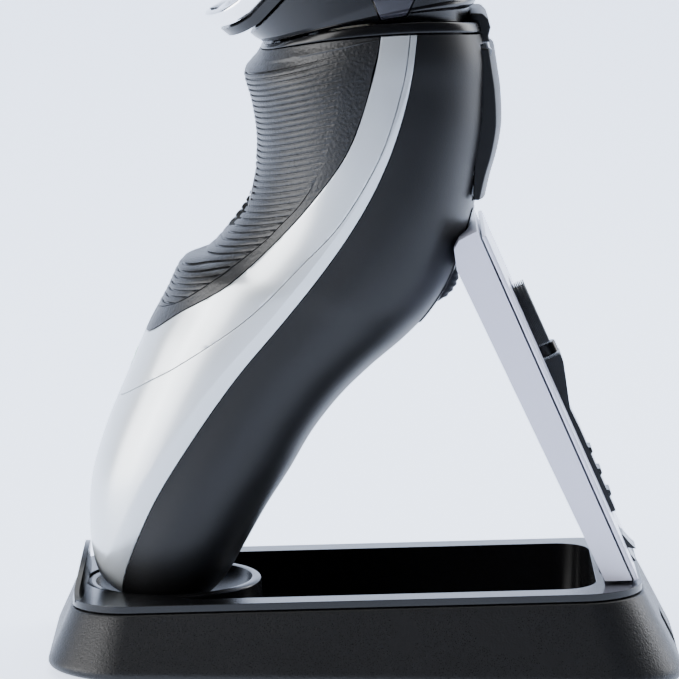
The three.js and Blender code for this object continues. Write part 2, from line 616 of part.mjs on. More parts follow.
function buildHandleInside() {
  const low = new THREE.Vector2(-44, 33);
  const high = new THREE.Vector2(-21.9, 75.6);
  const run = high.clone().sub(low).normalize();
  const out = new THREE.Vector2(run.y, -run.x);
  const spot = (along, side) => [low.x + run.x * along + out.x * side, low.y + run.y * along + out.y * side];
  const length = high.distanceTo(low);
  const strip = (a0, a1, s0, s1, half) =>
    slab([spot(a0, s0), spot(a1, s0), spot(a1, s1), spot(a0, s1)], -half, half);
  place("battery_cell", geometryOf(bar([low.x, 0, low.y], [high.x, 0, high.y], 7, 20)), finish.board);
  const frame = cut(join(strip(-3, length + 10, 7.6, 9.2, 14), strip(-3, -1, 0, 9.2, 9),
    strip(length + 1, length + 3, 0, 9.2, 9)), strip(8, 38, 5, 12, 5));
  place("inner_frame", geometryOf(frame), finish.nylon);
  place("circuit_board", geometryOf(strip(0, length + 6, 10.6, 12.0, 11)), finish.board);
}

// ---------------------------------------------------------------- drive and shaving head
const head = new THREE.Group();
head.position.set(...face.centre);
head.rotation.y = -radians(face.tilt);
group.add(head);
head.updateMatrixWorld(true);

const toHead = (solid) => {
  const geometry = geometryOf(solid);
  geometry.applyMatrix4(head.matrixWorld.clone().invert());
  return solidOf(geometry);
};
const headPlate = (radius, low, high) => plate(threeCircleHull(radius), low, high, 6);
const localBar = (x, y, low, high, radius, segments = 12) => bar([x, y, low], [x, y, high], radius, segments);

function gearShape(count, pitchRadius, phase) {
  const step = (2 * Math.PI) / count;
  const ring = [];
  for (let i = 0; i < count; i += 1) {
    const middle = phase + i * step;
    const root = pitchRadius - teeth.dedendum;
    const tip = pitchRadius + teeth.addendum;
    const [rootHalf, tipHalf] = [0.52 / root, 0.2 / tip];
    ring.push([root, middle - rootHalf], [tip, middle - tipHalf], [tip, middle + tipHalf],
      [root, middle + rootHalf]);
  }
  return shapeOf(ring.map(([r, a]) => [r * Math.cos(a), r * Math.sin(a)]));
}

const toothModule = (2 * gearDistance) / (teeth.pinion + teeth.gear);
const pinionRadius = (toothModule * teeth.pinion) / 2;
const gearRadius = (toothModule * teeth.gear) / 2;

function spindle(index) {
  const [x, y] = headSpots[index];
  const toward = Math.atan2(y, x - driveX);
  const meshed = 0.5 - (toward * teeth.pinion) / (2 * Math.PI);
  const phase = toward + Math.PI - ((2 * Math.PI) / teeth.gear) * meshed;
  const wheel = plate(gearShape(teeth.gear, gearRadius, phase), level.gearBack, level.gearTop);
  return join(wheel, localBar(0, 0, level.gearBack - 0.6, level.gearBack + 0.5, 1.5),
    localBar(0, 0, level.gearTop - 0.5, -3.6, 1.5));
}

function buildDrive() {
  const pocket = headPlate(hull.trayInner, level.trayFloor, level.coverBack - gap + 5);
  const tray = cut(headPlate(hull.tray, level.trayBack, level.coverBack - gap), pocket,
    localBar(driveX, 0, -30, -20, 1.6));
  place("gear_tray", geometryOf(tray), finish.nylon, head);
  const cover = cut(headPlate(hull.tray, level.coverBack, level.coverTop),
    ...headSpots.map(([x, y]) => localBar(x, y, -25, -10, 2.0)));
  place("drive_cover", geometryOf(cover), finish.darkGrey, head);
  const pinion = place("motor_pinion", geometryOf(join(
    plate(gearShape(teeth.pinion, pinionRadius, 0), level.gearBack, level.gearTop),
    localBar(0, 0, level.motorTop + gap, level.gearBack + 0.5, 1.1))), finish.brass, head);
  pinion.position.set(driveX, 0, 0);
  const motor = localBar(driveX, 0, level.motorBack, level.motorTop, 8.4, 24);
  place("drive_motor", geometryOf(motor), finish.steel, head);
  headSpots.forEach(([x, y], i) => {
    const mesh = place(`drive_spindle_${i + 1}`, geometryOf(spindle(i)), finish.nylon, head);
    mesh.position.set(x, y, 0);
  });
}

const chamberStations = [
  { front: [-24.6, 137.2], rear: [20.9, 146.7], half: 24.6, taper: 0 },
  { front: [-26.3, 137.0], rear: [19.2, 159.0], half: 26.2, taper: 0.06 },
  { front: [-28.0, 137.2], rear: [12.0, 171.0], half: 27.4, taper: 0.14 },
  { front: [-29.9, 137.6], rear: [3.6, 177.5], half: 27.6, taper: 0.22 },
];
const chamberFront = new THREE.CatmullRomCurve3(
  chamberStations.map(({ front, half }) => new THREE.Vector3(front[0], half, front[1])));
const chamberRear = new THREE.CatmullRomCurve3(
  chamberStations.map(({ rear, taper }) => new THREE.Vector3(rear[0], taper, rear[1])));

// The hair chamber fans out from the neck to the back of the tilted head.
function chamberLoft(offset, overrun = 0) {
  return loft(handleSpokes, 4, (t, k) => {
    const front = chamberFront.getPoint(t);
    const rear = chamberRear.getPoint(t);
    const half = front.y + offset;
    const taper = rear.y;
    front.y = 0;
    rear.y = 0;
    const across = rear.clone().sub(front);
    const reach = across.length() / 2 + offset;
    across.normalize();
    const [c, s] = [Math.cos(k * 2 * Math.PI), Math.sin(k * 2 * Math.PI)];
    const along = Math.sign(c) * Math.abs(c) ** (2 / squareness);
    const side = Math.sign(s) * Math.abs(s) ** (2 / squareness) * half * (1 + taper * along);
    const spot = front.add(rear).multiplyScalar(0.5).addScaledVector(across, along * reach).setY(side);
    const normal = new THREE.Vector3(-across.z, 0, across.x);
    const push = t < 1e-6 ? -overrun : t > 1 - 1e-6 ? overrun : 0;
    return spot.addScaledVector(normal, push);
  });
}

function tabShape(margin) {
  return [[0.6 - margin, 143.9 - margin], [5.8 + margin, 144.9 - margin], [9.6 + margin, 153.5 + margin],
    [-3.4 - margin, 153.5 + margin]];
}

function hairChamber() {
  const { x, z, knuckle, half, ear } = unitHinge;
  const walls = toHead(cut(chamberLoft(0), chamberLoft(-1.6, 3), slab(tabShape(gap), -60, 60)));
  const below = block([-60, -60, -60], [60, 60, level.chamberTop]);
  const ears = [-1, 1].map((side) => join(
    bar([x, side * (half + gap), z], [x, side * ear, z], knuckle),
    block([x - 5, Math.min(side * (half + gap), side * ear), z - 3.2],
      [x, Math.max(side * (half + gap), side * ear), z + 0.9])));
  const knuckleRoom = join(bar([x, -half - gap, z], [x, half + gap, z], knuckle + gap),
    block([x - 5, -half - gap, -7.3], [x + 1, half + gap, 0]));
  return cut(join(walls.intersect(below), ...ears.map((e) => cut(e, toHead(chamberLoft(-1.0, 3))))),
    bar([x, -20, z], [x, 20, z], unitHinge.pin + gap), knuckleRoom);
}

function buildHead() {
  place("hair_chamber", geometryOf(hairChamber()), finish.satinBlack, head);
  const { x, z, knuckle, half, pin, ear } = unitHinge;
  place("head_hinge_pin", geometryOf(bar([x, -ear, z], [x, ear, z], pin, 12)), finish.steel, head);
  const web = block([x - 4, -half, -6.9], [x, half, -6.4]);
  const eye = cut(join(bar([x, -half, z], [x, half, z], knuckle), web),
    bar([x, -20, z], [x, 20, z], pin + gap));
  const frame = cut(join(headPlate(hull.frame, level.frameBack, level.bezelBack - gap),
    headPlate(hull.holder, level.bezelBack - gap - 1, -1.0), eye),
  ...headSpots.map(([sx, sy]) => localBar(sx, sy, -20, 20, guard.hole, 24)));
  place("head_frame", geometryOf(frame), finish.satinBlack, head);
  place("chrome_bezel", geometryOf(cut(headPlate(hull.bezel, level.bezelBack, 0),
    headPlate(hull.bezelInner, -20, 20))), finish.chrome, head);

  const cap = [[0, guard.top - 1.2], [3.4, guard.top - 1.2], [4.0, guard.top - 0.6], [4.8, guard.top],
    [9.6, guard.top], [guard.radius, guard.top - 1.2], [guard.radius, guard.skirt],
    [guard.radius - guard.wall, guard.skirt], [guard.radius - guard.wall, -0.6], [9.2, guard.top - 0.7],
    [4.9, guard.top - 0.7], [4.0, -1.0], [0, -1.0]];
  const rotor = [[0, -1.3], [3.9, -1.3], [4.9, -0.1], [9.0, -0.1], [9.6, -0.9], [9.6, -2.0], [3.4, -2.6],
    [3.4, -5.6], [2.3, -5.6], [2.3, -2.6], [0, -2.6]];
  headSpots.forEach(([sx, sy], i) => {
    place(`guard_${i + 1}`, geometryOf(turned(cap, 18)), finish.steel, head).position.set(sx, sy, 0);
    place(`cutter_${i + 1}`, geometryOf(turned(rotor, 16)), finish.steel, head).position.set(sx, sy, 0);
  });
}

function buildReleaseTabs() {
  [["near", -1], ["far", 1]].forEach(([name, side]) => {
    const [low, high] = side < 0 ? [-26.3, -23.5] : [23.5, 26.3];
    place(`release_tab_${name}`, geometryOf(slab(tabShape(0), low, high)), finish.darkGrey);
  });
}

buildStand();
buildArm();
buildHandleShells();
buildHandleTrim();
buildTrimmer();
buildHandleInside();
buildDrive();
buildHead();
buildReleaseTabs();

export default group;
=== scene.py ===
import json
import math

import bmesh
import bpy
import numpy as np
from mathutils import Matrix, Vector


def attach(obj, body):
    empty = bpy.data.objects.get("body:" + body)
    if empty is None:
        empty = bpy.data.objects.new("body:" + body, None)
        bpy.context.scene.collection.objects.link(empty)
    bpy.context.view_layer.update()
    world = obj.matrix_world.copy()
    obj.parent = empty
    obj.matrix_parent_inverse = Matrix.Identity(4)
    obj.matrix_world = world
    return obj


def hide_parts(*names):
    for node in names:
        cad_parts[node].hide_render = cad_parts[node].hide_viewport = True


# Lengths are in millimetres while a piece is being shaped, and become metres when it is finished.
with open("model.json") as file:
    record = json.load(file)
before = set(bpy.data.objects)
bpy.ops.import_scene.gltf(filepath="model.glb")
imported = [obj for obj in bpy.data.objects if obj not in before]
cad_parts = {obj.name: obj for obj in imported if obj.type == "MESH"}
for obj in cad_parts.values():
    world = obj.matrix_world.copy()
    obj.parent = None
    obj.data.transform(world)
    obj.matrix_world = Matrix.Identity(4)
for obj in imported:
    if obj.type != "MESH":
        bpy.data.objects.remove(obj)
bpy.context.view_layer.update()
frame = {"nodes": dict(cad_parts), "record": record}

gap = 0.3
unit = Matrix.Diagonal((0.001, 0.001, 0.001, 1.0))


studio = {
    "target": (-0.00715, 0.0, 0.0708),
    "elevation": 9.4,
    "distance": 1.1,
    "lens": 265.0,
    "roll": 1.0,
    "paperColour": (0.72, 0.80, 0.97),
    "paperGlow": 1.9,
    "glowFrom": (-0.40, -0.07),  # the paper stays dull in front of the stand
    "worldColour": (0.80, 0.86, 0.97),
    "worldStrength": 0.04,
}


def buildCamera():
    camera = bpy.data.objects.new("studioCamera", bpy.data.cameras.new("studioCamera"))
    bpy.context.scene.collection.objects.link(camera)
    camera.data.lens = studio["lens"]
    camera.data.sensor_width = 36
    camera.data.clip_end = 20
    lift = math.radians(studio["elevation"])
    target = Vector(studio["target"])
    back = Vector((0, -math.cos(lift), math.sin(lift)))
    camera.location = target + back * studio["distance"]
    turn = Matrix.Rotation(math.radians(studio["roll"]), 4, back)
    camera.rotation_euler = (turn @ (-back).to_track_quat("-Z", "Y").to_matrix().to_4x4()).to_euler()
    bpy.context.scene.camera = camera


def softbox(name, spot, aim, size, power, colour=(1, 1, 1)):
    lamp = bpy.data.lights.new(name, "AREA")
    lamp.shape = "RECTANGLE"
    lamp.size, lamp.size_y = size
    lamp.energy = power
    lamp.color = colour
    holder = bpy.data.objects.new(name, lamp)
    bpy.context.scene.collection.objects.link(holder)
    holder.location = spot
    holder.rotation_euler = (Vector(aim) - Vector(spot)).to_track_quat("-Z", "Y").to_euler()


def buildStudio():
    bm = bmesh.new()
    bmesh.ops.create_grid(bm, x_segments=1, y_segments=24, size=1)
    for v in bm.verts:
        along = (v.co.y + 1) / 2 * 24  # rows before 10 lie flat, rows 10 to 18 curve up, the rest stand
        x = v.co.x * 6
        if along <= 10:
            v.co = (x, -5 + along * 0.66, 0)
        elif along <= 18:
            angle = (along - 10) / 8 * math.pi / 2
            v.co = (x, 1.6 + 1.2 * math.sin(angle), 1.2 - 1.2 * math.cos(angle))
        else:
            v.co = (x, 2.8, 1.2 + (along - 18) * 0.5)
    mesh = bpy.data.meshes.new("studioFloor")
    bm.to_mesh(mesh)
    bm.free()
    mesh.polygons.foreach_set("use_smooth", [True] * len(mesh.polygons))
    floor = bpy.data.objects.new("studioFloor", mesh)
    bpy.context.scene.collection.objects.link(floor)
    paper = bpy.data.materials.new("studioPaper")
    paper.use_nodes = True
    shader = paper.node_tree.nodes["Principled BSDF"]
    shader.inputs["Base Color"].default_value = (*studio["paperColour"], 1)
    shader.inputs["Roughness"].default_value = 0.6
    shader.inputs["Emission Strength"].default_value = studio["paperGlow"]
    place = paper.node_tree.nodes.new("ShaderNodeTexCoord")
    parts = paper.node_tree.nodes.new("ShaderNodeSeparateXYZ")
    ramp = paper.node_tree.nodes.new("ShaderNodeMapRange")
    ramp.inputs["From Min"].default_value, ramp.inputs["From Max"].default_value = studio["glowFrom"]
    blend = paper.node_tree.nodes.new("ShaderNodeMix")
    blend.data_type = "RGBA"
    blend.inputs[6].default_value = (0, 0, 0, 1)
    blend.inputs[7].default_value = (*studio["paperColour"], 1)
    paper.node_tree.links.new(place.outputs["Object"], parts.inputs[0])
    paper.node_tree.links.new(parts.outputs["Y"], ramp.inputs["Value"])
    paper.node_tree.links.new(ramp.outputs[0], blend.inputs[0])
    paper.node_tree.links.new(blend.outputs[2], shader.inputs["Emission Color"])
    mesh.materials.append(paper)
    world = bpy.data.worlds.new("studioSky")
    world.use_nodes = True
    world.node_tree.nodes["Background"].inputs["Color"].default_value = (*studio["worldColour"], 1)
    world.node_tree.nodes["Background"].inputs["Strength"].default_value = studio["worldStrength"]
    bpy.context.scene.world = world
    softbox("frontLeftBox", (-0.75, -0.55, 0.36), (-0.03, 0, 0.08), (0.5, 0.9), 13.0)
    softbox("lowLeftBox", (-0.8, -0.12, 0.12), (-0.05, 0, 0.05), (0.5, 0.5), 7.0)
    softbox("topBox", (0.0, 0.1, 1.0), (0, 0, 0.05), (0.9, 0.5), 6.0)
    softbox("rearRightBox", (0.75, 0.35, 0.45), (0.02, 0, 0.1), (0.35, 0.8), 8.0)
    softbox("backdropBox", (0.0, 0.7, 1.6), (0, 2.2, 0.3), (2.4, 0.8), 40.0, (0.90, 0.95, 1.0))


def valueGroup(name, inputs, outputs):
    tree = bpy.data.node_groups.new(name, "ShaderNodeTree")
    for label, value in inputs:
        socket = tree.interface.new_socket(name=label, in_out="INPUT", socket_type="NodeSocketFloat")
        socket.default_value = value
    for label in outputs:
        tree.interface.new_socket(name=label, in_out="OUTPUT", socket_type="NodeSocketFloat")
    return tree, tree.nodes.new("NodeGroupInput"), tree.nodes.new("NodeGroupOutput")


def mathNode(tree, operation, first, second):
    node = tree.nodes.new("ShaderNodeMath")
    node.operation = operation
    for slot, value in enumerate((first, second)):
        if isinstance(value, (int, float)):
            node.inputs[slot].default_value = value
        else:
            tree.links.new(value, node.inputs[slot])
    return node.outputs[0]


def buildGrainGroup():
    # Pebbled grain: rounded cells broken up by a finer noise, for moulded and leathery surfaces.
    tree, entry, out = valueGroup("pebbleGrain", [("Cells", 1500.0), ("Fine", 4000.0)], ["Height", "Speck"])
    place = tree.nodes.new("ShaderNodeTexCoord")
    cells = tree.nodes.new("ShaderNodeTexVoronoi")
    cells.feature = "SMOOTH_F1"
    tree.links.new(place.outputs["Object"], cells.inputs["Vector"])
    tree.links.new(entry.outputs["Cells"], cells.inputs["Scale"])
    fine = tree.nodes.new("ShaderNodeTexNoise")
    tree.links.new(place.outputs["Object"], fine.inputs["Vector"])
    tree.links.new(entry.outputs["Fine"], fine.inputs["Scale"])
    domes = mathNode(tree, "SUBTRACT", 1.0, cells.outputs["Distance"])
    height = mathNode(tree, "ADD", domes, mathNode(tree, "MULTIPLY", fine.outputs[0], 0.6))
    speck = mathNode(tree, "GREATER_THAN", fine.outputs[0], 0.62)
    tree.links.new(height, out.inputs["Height"])
    tree.links.new(speck, out.inputs["Speck"])
    return tree


def buildHandlingGroup():
    # Slow, soft variation left by moulding and handling, from 0 to 1.
    tree, entry, out = valueGroup("handlingMarks", [("Size", 40.0)], ["Cloud", "Streak"])
    place = tree.nodes.new("ShaderNodeTexCoord")
    cloud = tree.nodes.new("ShaderNodeTexNoise")
    cloud.inputs["Detail"].default_value = 4
    tree.links.new(place.outputs["Object"], cloud.inputs["Vector"])
    tree.links.new(entry.outputs["Size"], cloud.inputs["Scale"])
    stretch = tree.nodes.new("ShaderNodeMapping")
    stretch.inputs["Scale"].default_value = (900, 900, 40)
    streak = tree.nodes.new("ShaderNodeTexNoise")
    streak.inputs["Scale"].default_value = 1
    tree.links.new(place.outputs["Object"], stretch.inputs["Vector"])
    tree.links.new(stretch.outputs[0], streak.inputs["Vector"])
    tree.links.new(cloud.outputs[0], out.inputs["Cloud"])
    tree.links.new(streak.outputs[0], out.inputs["Streak"])
    return tree


grainGroup = buildGrainGroup()
handlingGroup = buildHandlingGroup()


def finishMaterial(name, colour, roughness, metallic=0.0, second=None, grain=None, cloud=0.06, size=40.0,
                   coat=0.0, specular=0.5, streak=0.0, speckle=0.0):
    # grain is (cell scale, fine scale, bump distance in metres).
    material = bpy.data.materials.new(name)
    material.use_nodes = True
    tree = material.node_tree
    shader = tree.nodes["Principled BSDF"]
    shader.inputs["Metallic"].default_value = metallic
    shader.inputs["Coat Weight"].default_value = coat
    shader.inputs["Coat Roughness"].default_value = 0.12
    shader.inputs["Specular IOR Level"].default_value = specular
    marks = tree.nodes.new("ShaderNodeGroup")
    marks.node_tree = handlingGroup
    marks.inputs["Size"].default_value = size
    blend = tree.nodes.new("ShaderNodeMix")
    blend.data_type = "RGBA"
    blend.inputs[6].default_value = (*colour, 1)
    blend.inputs[7].default_value = (*(second or tuple(c * 0.82 for c in colour)), 1)
    tree.links.new(marks.outputs["Cloud"], blend.inputs[0])
    tree.links.new(blend.outputs[2], shader.inputs["Base Color"])
    swing = mathNode(tree, "MULTIPLY", mathNode(tree, "SUBTRACT", marks.outputs["Cloud"], 0.5), cloud * 2)
    rough = mathNode(tree, "ADD", swing, roughness)
    if streak:
        rough = mathNode(tree, "ADD", rough, mathNode(tree, "MULTIPLY", marks.outputs["Streak"], streak))
    if grain:
        cells, fine, depth = grain
        pebble = tree.nodes.new("ShaderNodeGroup")
        pebble.node_tree = grainGroup
        pebble.inputs["Cells"].default_value = cells
        pebble.inputs["Fine"].default_value = fine
        bump = tree.nodes.new("ShaderNodeBump")
        bump.inputs["Distance"].default_value = depth
        bump.inputs["Strength"].default_value = 1.0
        tree.links.new(pebble.outputs["Height"], bump.inputs["Height"])
        tree.links.new(bump.outputs["Normal"], shader.inputs["Normal"])
        if speckle:
            shine = mathNode(tree, "MULTIPLY", pebble.outputs["Speck"], speckle)
            rough = mathNode(tree, "SUBTRACT", rough, shine)
    tree.links.new(rough, shader.inputs["Roughness"])
    return material


finishes = {
    "grained_black": finishMaterial("sparkErodedBlack", (0.006, 0.006, 0.0065), 0.44, specular=0.3,
                                    grain=(2300.0, 5200.0, 0.00006), speckle=0.18),
    "satin_black": finishMaterial("satinBlack", (0.004, 0.004, 0.0045), 0.24, cloud=0.04, specular=0.3,
                                  grain=(900.0, 2600.0, 0.000004)),
    "soft_black": finishMaterial("softTouchBlack", (0.005, 0.005, 0.0055), 0.44, cloud=0.03, specular=0.3,
                                 grain=(3200.0, 6500.0, 0.000012)),
    "rubber_black": finishMaterial("leatherRubber", (0.008, 0.008, 0.0085), 0.40, cloud=0.04, specular=0.42,
                                   grain=(1500.0, 4200.0, 0.00009)),
    "silver": finishMaterial("satinSilver", (0.60, 0.63, 0.65), 0.30, metallic=0.55, cloud=0.02, coat=0.15,
                             second=(0.57, 0.60, 0.62), grain=(5200.0, 9000.0, 0.000003)),
    "lilac_grey": finishMaterial("lilacGloss", (0.60, 0.61, 0.74), 0.24, cloud=0.02, coat=0.3,
                                 second=(0.57, 0.58, 0.71), grain=(700.0, 2400.0, 0.000002)),
    "chrome": finishMaterial("polishedChrome", (0.86, 0.87, 0.89), 0.07, metallic=1.0, cloud=0.02,
                             second=(0.82, 0.83, 0.86)),
    "steel": finishMaterial("turnedSteel", (0.62, 0.63, 0.64), 0.24, metallic=1.0, streak=0.14),
    "brass": finishMaterial("platedBrass", (0.72, 0.52, 0.22), 0.28, metallic=1.0, streak=0.1),
    "board": finishMaterial("varnishedBoard", (0.02, 0.13, 0.05), 0.35, second=(0.03, 0.20, 0.08),
                            size=260.0),
    "dark_grey": finishMaterial("satinPlum", (0.022, 0.021, 0.028), 0.36, cloud=0.03, specular=0.4,
                                grain=(2600.0, 6000.0, 0.00001)),
    "nylon": finishMaterial("naturalNylon", (0.76, 0.74, 0.68), 0.45, streak=0.08),
    "lens": finishMaterial("tintedLens", (0.30, 0.62, 0.34), 0.08, coat=0.6),
}
bristleFinish = finishMaterial("bristleBlack", (0.015, 0.015, 0.016), 0.4, streak=0.2)
print("materials ready:", len(finishes) + 1)


def bake(obj):
    # Applies an object's modifiers to its mesh.
    mesh = bpy.data.meshes.new_from_object(obj.evaluated_get(bpy.context.evaluated_depsgraph_get()))
    old = obj.data
    obj.modifiers.clear()
    obj.data = mesh
    bpy.data.meshes.remove(old)


def blank(name, bm):
    # A bmesh, still in millimetres, as an object.
    mesh = bpy.data.meshes.new(name)
    bm.to_mesh(mesh)
    bm.free()
    obj = bpy.data.objects.new(name, mesh)
    bpy.context.scene.collection.objects.link(obj)
    return obj


def carve(obj, cutters, operation="DIFFERENCE"):
    for cutter in cutters:
        change = obj.modifiers.new("carve", "BOOLEAN")
        change.operation = operation
        change.solver = "EXACT"
        change.object = cutter
        bake(obj)
        old = cutter.data
        bpy.data.objects.remove(cutter)
        bpy.data.meshes.remove(old)
    return obj


def finished(obj, slot, body, standsFor=(), bevel=0.0, steps=2, sharp=35, material=None):
    # Rounds the edges, turns millimetres into metres and ties the piece to its body.
    if bevel:
        rounding = obj.modifiers.new("edges", "BEVEL")
        rounding.width = bevel
        rounding.segments = steps
        rounding.limit_method = "ANGLE"
        rounding.angle_limit = math.radians(sharp)
        rounding.use_clamp_overlap = True
        bake(obj)
    mesh = obj.data
    mesh.transform(unit)
    mesh.materials.clear()
    mesh.materials.append(material or finishes[slot])
    mesh.polygons.foreach_set("use_smooth", [True] * len(mesh.polygons))
    mesh.polygons.foreach_set("material_index", [0] * len(mesh.polygons))
    mesh.set_sharp_from_angle(angle=math.radians(sharp))
    even = obj.modifiers.new("evenShading", "WEIGHTED_NORMAL")
    even.keep_sharp = True
    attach(obj, body)
    if standsFor:
        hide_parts(*standsFor)
    return obj


def gridFrom(spots):
    # A grid laid on an array of points [row][column].
    rows, columns = len(spots) - 1, len(spots[0]) - 1
    bm = bmesh.new()
    bmesh.ops.create_grid(bm, x_segments=columns, y_segments=rows, size=0.5)
    for v in bm.verts:
        v.co = Vector(spots[round((v.co.y + 0.5) * rows)][round((v.co.x + 0.5) * columns)])
    bmesh.ops.remove_doubles(bm, verts=bm.verts, dist=0.002)
    bmesh.ops.dissolve_degenerate(bm, dist=0.001, edges=bm.edges)
    bmesh.ops.recalc_face_normals(bm, faces=bm.faces)
    return bm


def slabBetween(outer, inner):
    # A closed wall between two arrays of points [row][column]; columns or rows that meet are merged.
    rows, columns = outer.shape[0] - 1, outer.shape[1] - 1
    bm = bmesh.new()
    bmesh.ops.create_grid(bm, x_segments=columns, y_segments=rows, size=0.5)
    spot = bm.verts.layers.int.new("spot")
    inside, outside = inner.reshape(-1, 3), outer.reshape(-1, 3)
    for v in bm.verts:
        v[spot] = round((v.co.y + 0.5) * rows) * (columns + 1) + round((v.co.x + 0.5) * columns)
        v.co = Vector(outside[v[spot]])
    bmesh.ops.remove_doubles(bm, verts=bm.verts, dist=0.004)
    grown = bmesh.ops.extrude_face_region(bm, geom=bm.faces[:])
    for v in grown["geom"]:
        if isinstance(v, bmesh.types.BMVert):
            v.co = Vector(inside[v[spot]])
    bmesh.ops.remove_doubles(bm, verts=bm.verts, dist=0.004)
    bmesh.ops.dissolve_degenerate(bm, dist=0.002, edges=bm.edges)
    bmesh.ops.recalc_face_normals(bm, faces=bm.faces)
    return bm


def bothSides(spots):
    # Points of the near half, from the middle of the front outwards, with the far half added.
    far = spots[:, :0:-1].copy()
    far[..., 1] *= -1
    return np.concatenate([far, spots], axis=1)


def sideProfile(points, near, far):
    # A side outline [x, z] made into a block across Y.
    bm = bmesh.new()
    face = bm.faces.new([bm.verts.new((x, near, z)) for x, z in points])
    grown = bmesh.ops.extrude_face_region(bm, geom=[face])
    bmesh.ops.translate(bm, verts=[v for v in grown["geom"] if isinstance(v, bmesh.types.BMVert)],
                        vec=(0, far - near, 0))
    bmesh.ops.recalc_face_normals(bm, faces=bm.faces)
    return bm


def turned(profile, steps=64, place=None):
    # A profile [radius, height] spun about Z.
    bm = bmesh.new()
    verts = [bm.verts.new((r, 0, z)) for r, z in profile]
    edges = [bm.edges.new(pair) for pair in zip(verts, verts[1:])]
    bmesh.ops.spin(bm, geom=verts + edges, cent=(0, 0, 0), axis=(0, 0, 1), angle=2 * math.pi, steps=steps,
                   use_merge=True)
    bmesh.ops.remove_doubles(bm, verts=bm.verts, dist=0.002)
    bmesh.ops.holes_fill(bm, edges=bm.edges, sides=0)
    bmesh.ops.recalc_face_normals(bm, faces=bm.faces)
    if place is not None:
        bmesh.ops.transform(bm, matrix=place, verts=bm.verts)
    return bm


def rod(start, end, radius, segments=48, taper=1.0):
    a, b = Vector(start), Vector(end)
    bm = bmesh.new()
    turn = (b - a).to_track_quat("Z", "Y").to_matrix().to_4x4()
    bmesh.ops.create_cone(bm, cap_ends=True, segments=segments, radius1=radius, radius2=radius * taper,
                          depth=(b - a).length, matrix=Matrix.Translation((a + b) / 2) @ turn)
    return bm


def cuboid(low, high):
    bm = bmesh.new()
    size = [h - l for l, h in zip(low, high)]
    middle = [(h + l) / 2 for l, h in zip(low, high)]
    bmesh.ops.create_cube(bm, size=1, matrix=Matrix.Translation(middle) @ Matrix.Diagonal((*size, 1)))
    return bm


def roundedPlate(left, right, half, radius, low, high, steps=10):
    # A plate with round corners; low and high are heights, or functions of x.
    bm = cuboid((left, -half, 0), (right, half, 1))
    upright = [e for e in bm.edges if abs(e.verts[0].co.z - e.verts[1].co.z) > 0.5]
    bmesh.ops.bevel(bm, geom=upright, offset=radius, offset_type="OFFSET", segments=steps, profile=0.5,
                    affect="EDGES", material=-1)
    for v in bm.verts:
        level = high if v.co.z > 0.5 else low
        v.co.z = level(v.co.x) if callable(level) else level
    return bm


handle = {
    "squareness": 2.35,  # 2 is an ellipse, higher is boxier
    "wall": 1.7,
    "edgeRound": 0.22,
    # front x, front z, rear x, rear z, half width, from the foot to the neck
    "stations": [
        (-51.4, 11.3, -38.8, 11.2, 8.4), (-57.0, 14.8, -34.4, 14.6, 13.6), (-60.2, 20.4, -30.8, 18.8, 17.4),
        (-61.6, 29.0, -27.2, 25.4, 20.0), (-61.2, 40.0, -22.6, 34.0, 21.4), (-58.3, 51.0, -17.4, 42.6, 22.4),
        (-53.8, 62.5, -12.6, 51.2, 23.2), (-49.4, 73.4, -6.8, 59.0, 23.9), (-45.3, 81.4, -0.2, 65.8, 24.5),
        (-41.9, 88.2, 7.2, 72.4, 25.1), (-36.2, 91.0, 12.6, 78.4, 25.7), (-31.2, 96.8, 16.8, 85.6, 26.2),
        (-28.0, 102.5, 19.4, 93.4, 26.7), (-26.3, 109.0, 21.7, 101.6, 27.1),
        (-26.0, 116.0, 23.3, 110.4, 27.4), (-27.2, 123.5, 24.7, 119.6, 27.5),
        (-28.9, 129.9, 25.0, 127.8, 27.4), (-26.8, 133.0, 24.7, 135.2, 27.0),
        (-24.8, 136.3, 23.0, 142.2, 25.8)],
    "gripEdge": [(0.5, 150), (0.4, 140), (-1.5, 129.7), (-6, 116), (-13.6, 104.5), (-22, 94.6), (-31, 86),
                 (-41.8, 78.8), (-49.6, 72.6), (-60, 66)],
    "panelEdge": [(7.0, 150), (6.8, 141), (5.4, 130), (1, 115.2), (-6.8, 100.9), (-15, 91.4), (-27, 78.9),
                  (-41.6, 68), (-50.6, 62), (-66, 50)],
    "rearEdge": [(8.6, 152), (8.4, 141), (6.5, 126.6), (2, 112), (-5.3, 97.9), (-17.2, 80.9), (-29.4, 65.4),
                 (-39.4, 50.6), (-47.2, 37.3), (-52.8, 24), (-55, 16), (-56, 6)],
    "crown": 3.6,  # how much higher the sides are than the front and rear at the neck
    "facetWidth": 4.6,
    "facetSlope": 0.34,
}
lastStation = len(handle["stations"]) - 1
coverTop = lastStation - 0.36  # the covers end here, under the neck collar


def smoothLine(rows, perSpan=60):
    # Points of a smooth line through rows of numbers, perSpan to each span.
    rows = np.array(rows, dtype=float)
    before = np.vstack([2 * rows[0] - rows[1], rows])
    padded = np.vstack([before, 2 * rows[-1] - rows[-2]])
    out = []
    for i in range(len(rows) - 1):
        p0, p1, p2, p3 = padded[i:i + 4]
        for f in np.arange(perSpan) / perSpan:
            out.append(0.5 * (2 * p1 + (p2 - p0) * f + (2 * p0 - 5 * p1 + 4 * p2 - p3) * f ** 2
                              + (3 * p1 - p0 - 3 * p2 + p3) * f ** 3))
    out.append(rows[-1])
    return np.array(out)


skinLine = smoothLine(handle["stations"])
skinSteps = np.arange(len(skinLine)) / 60


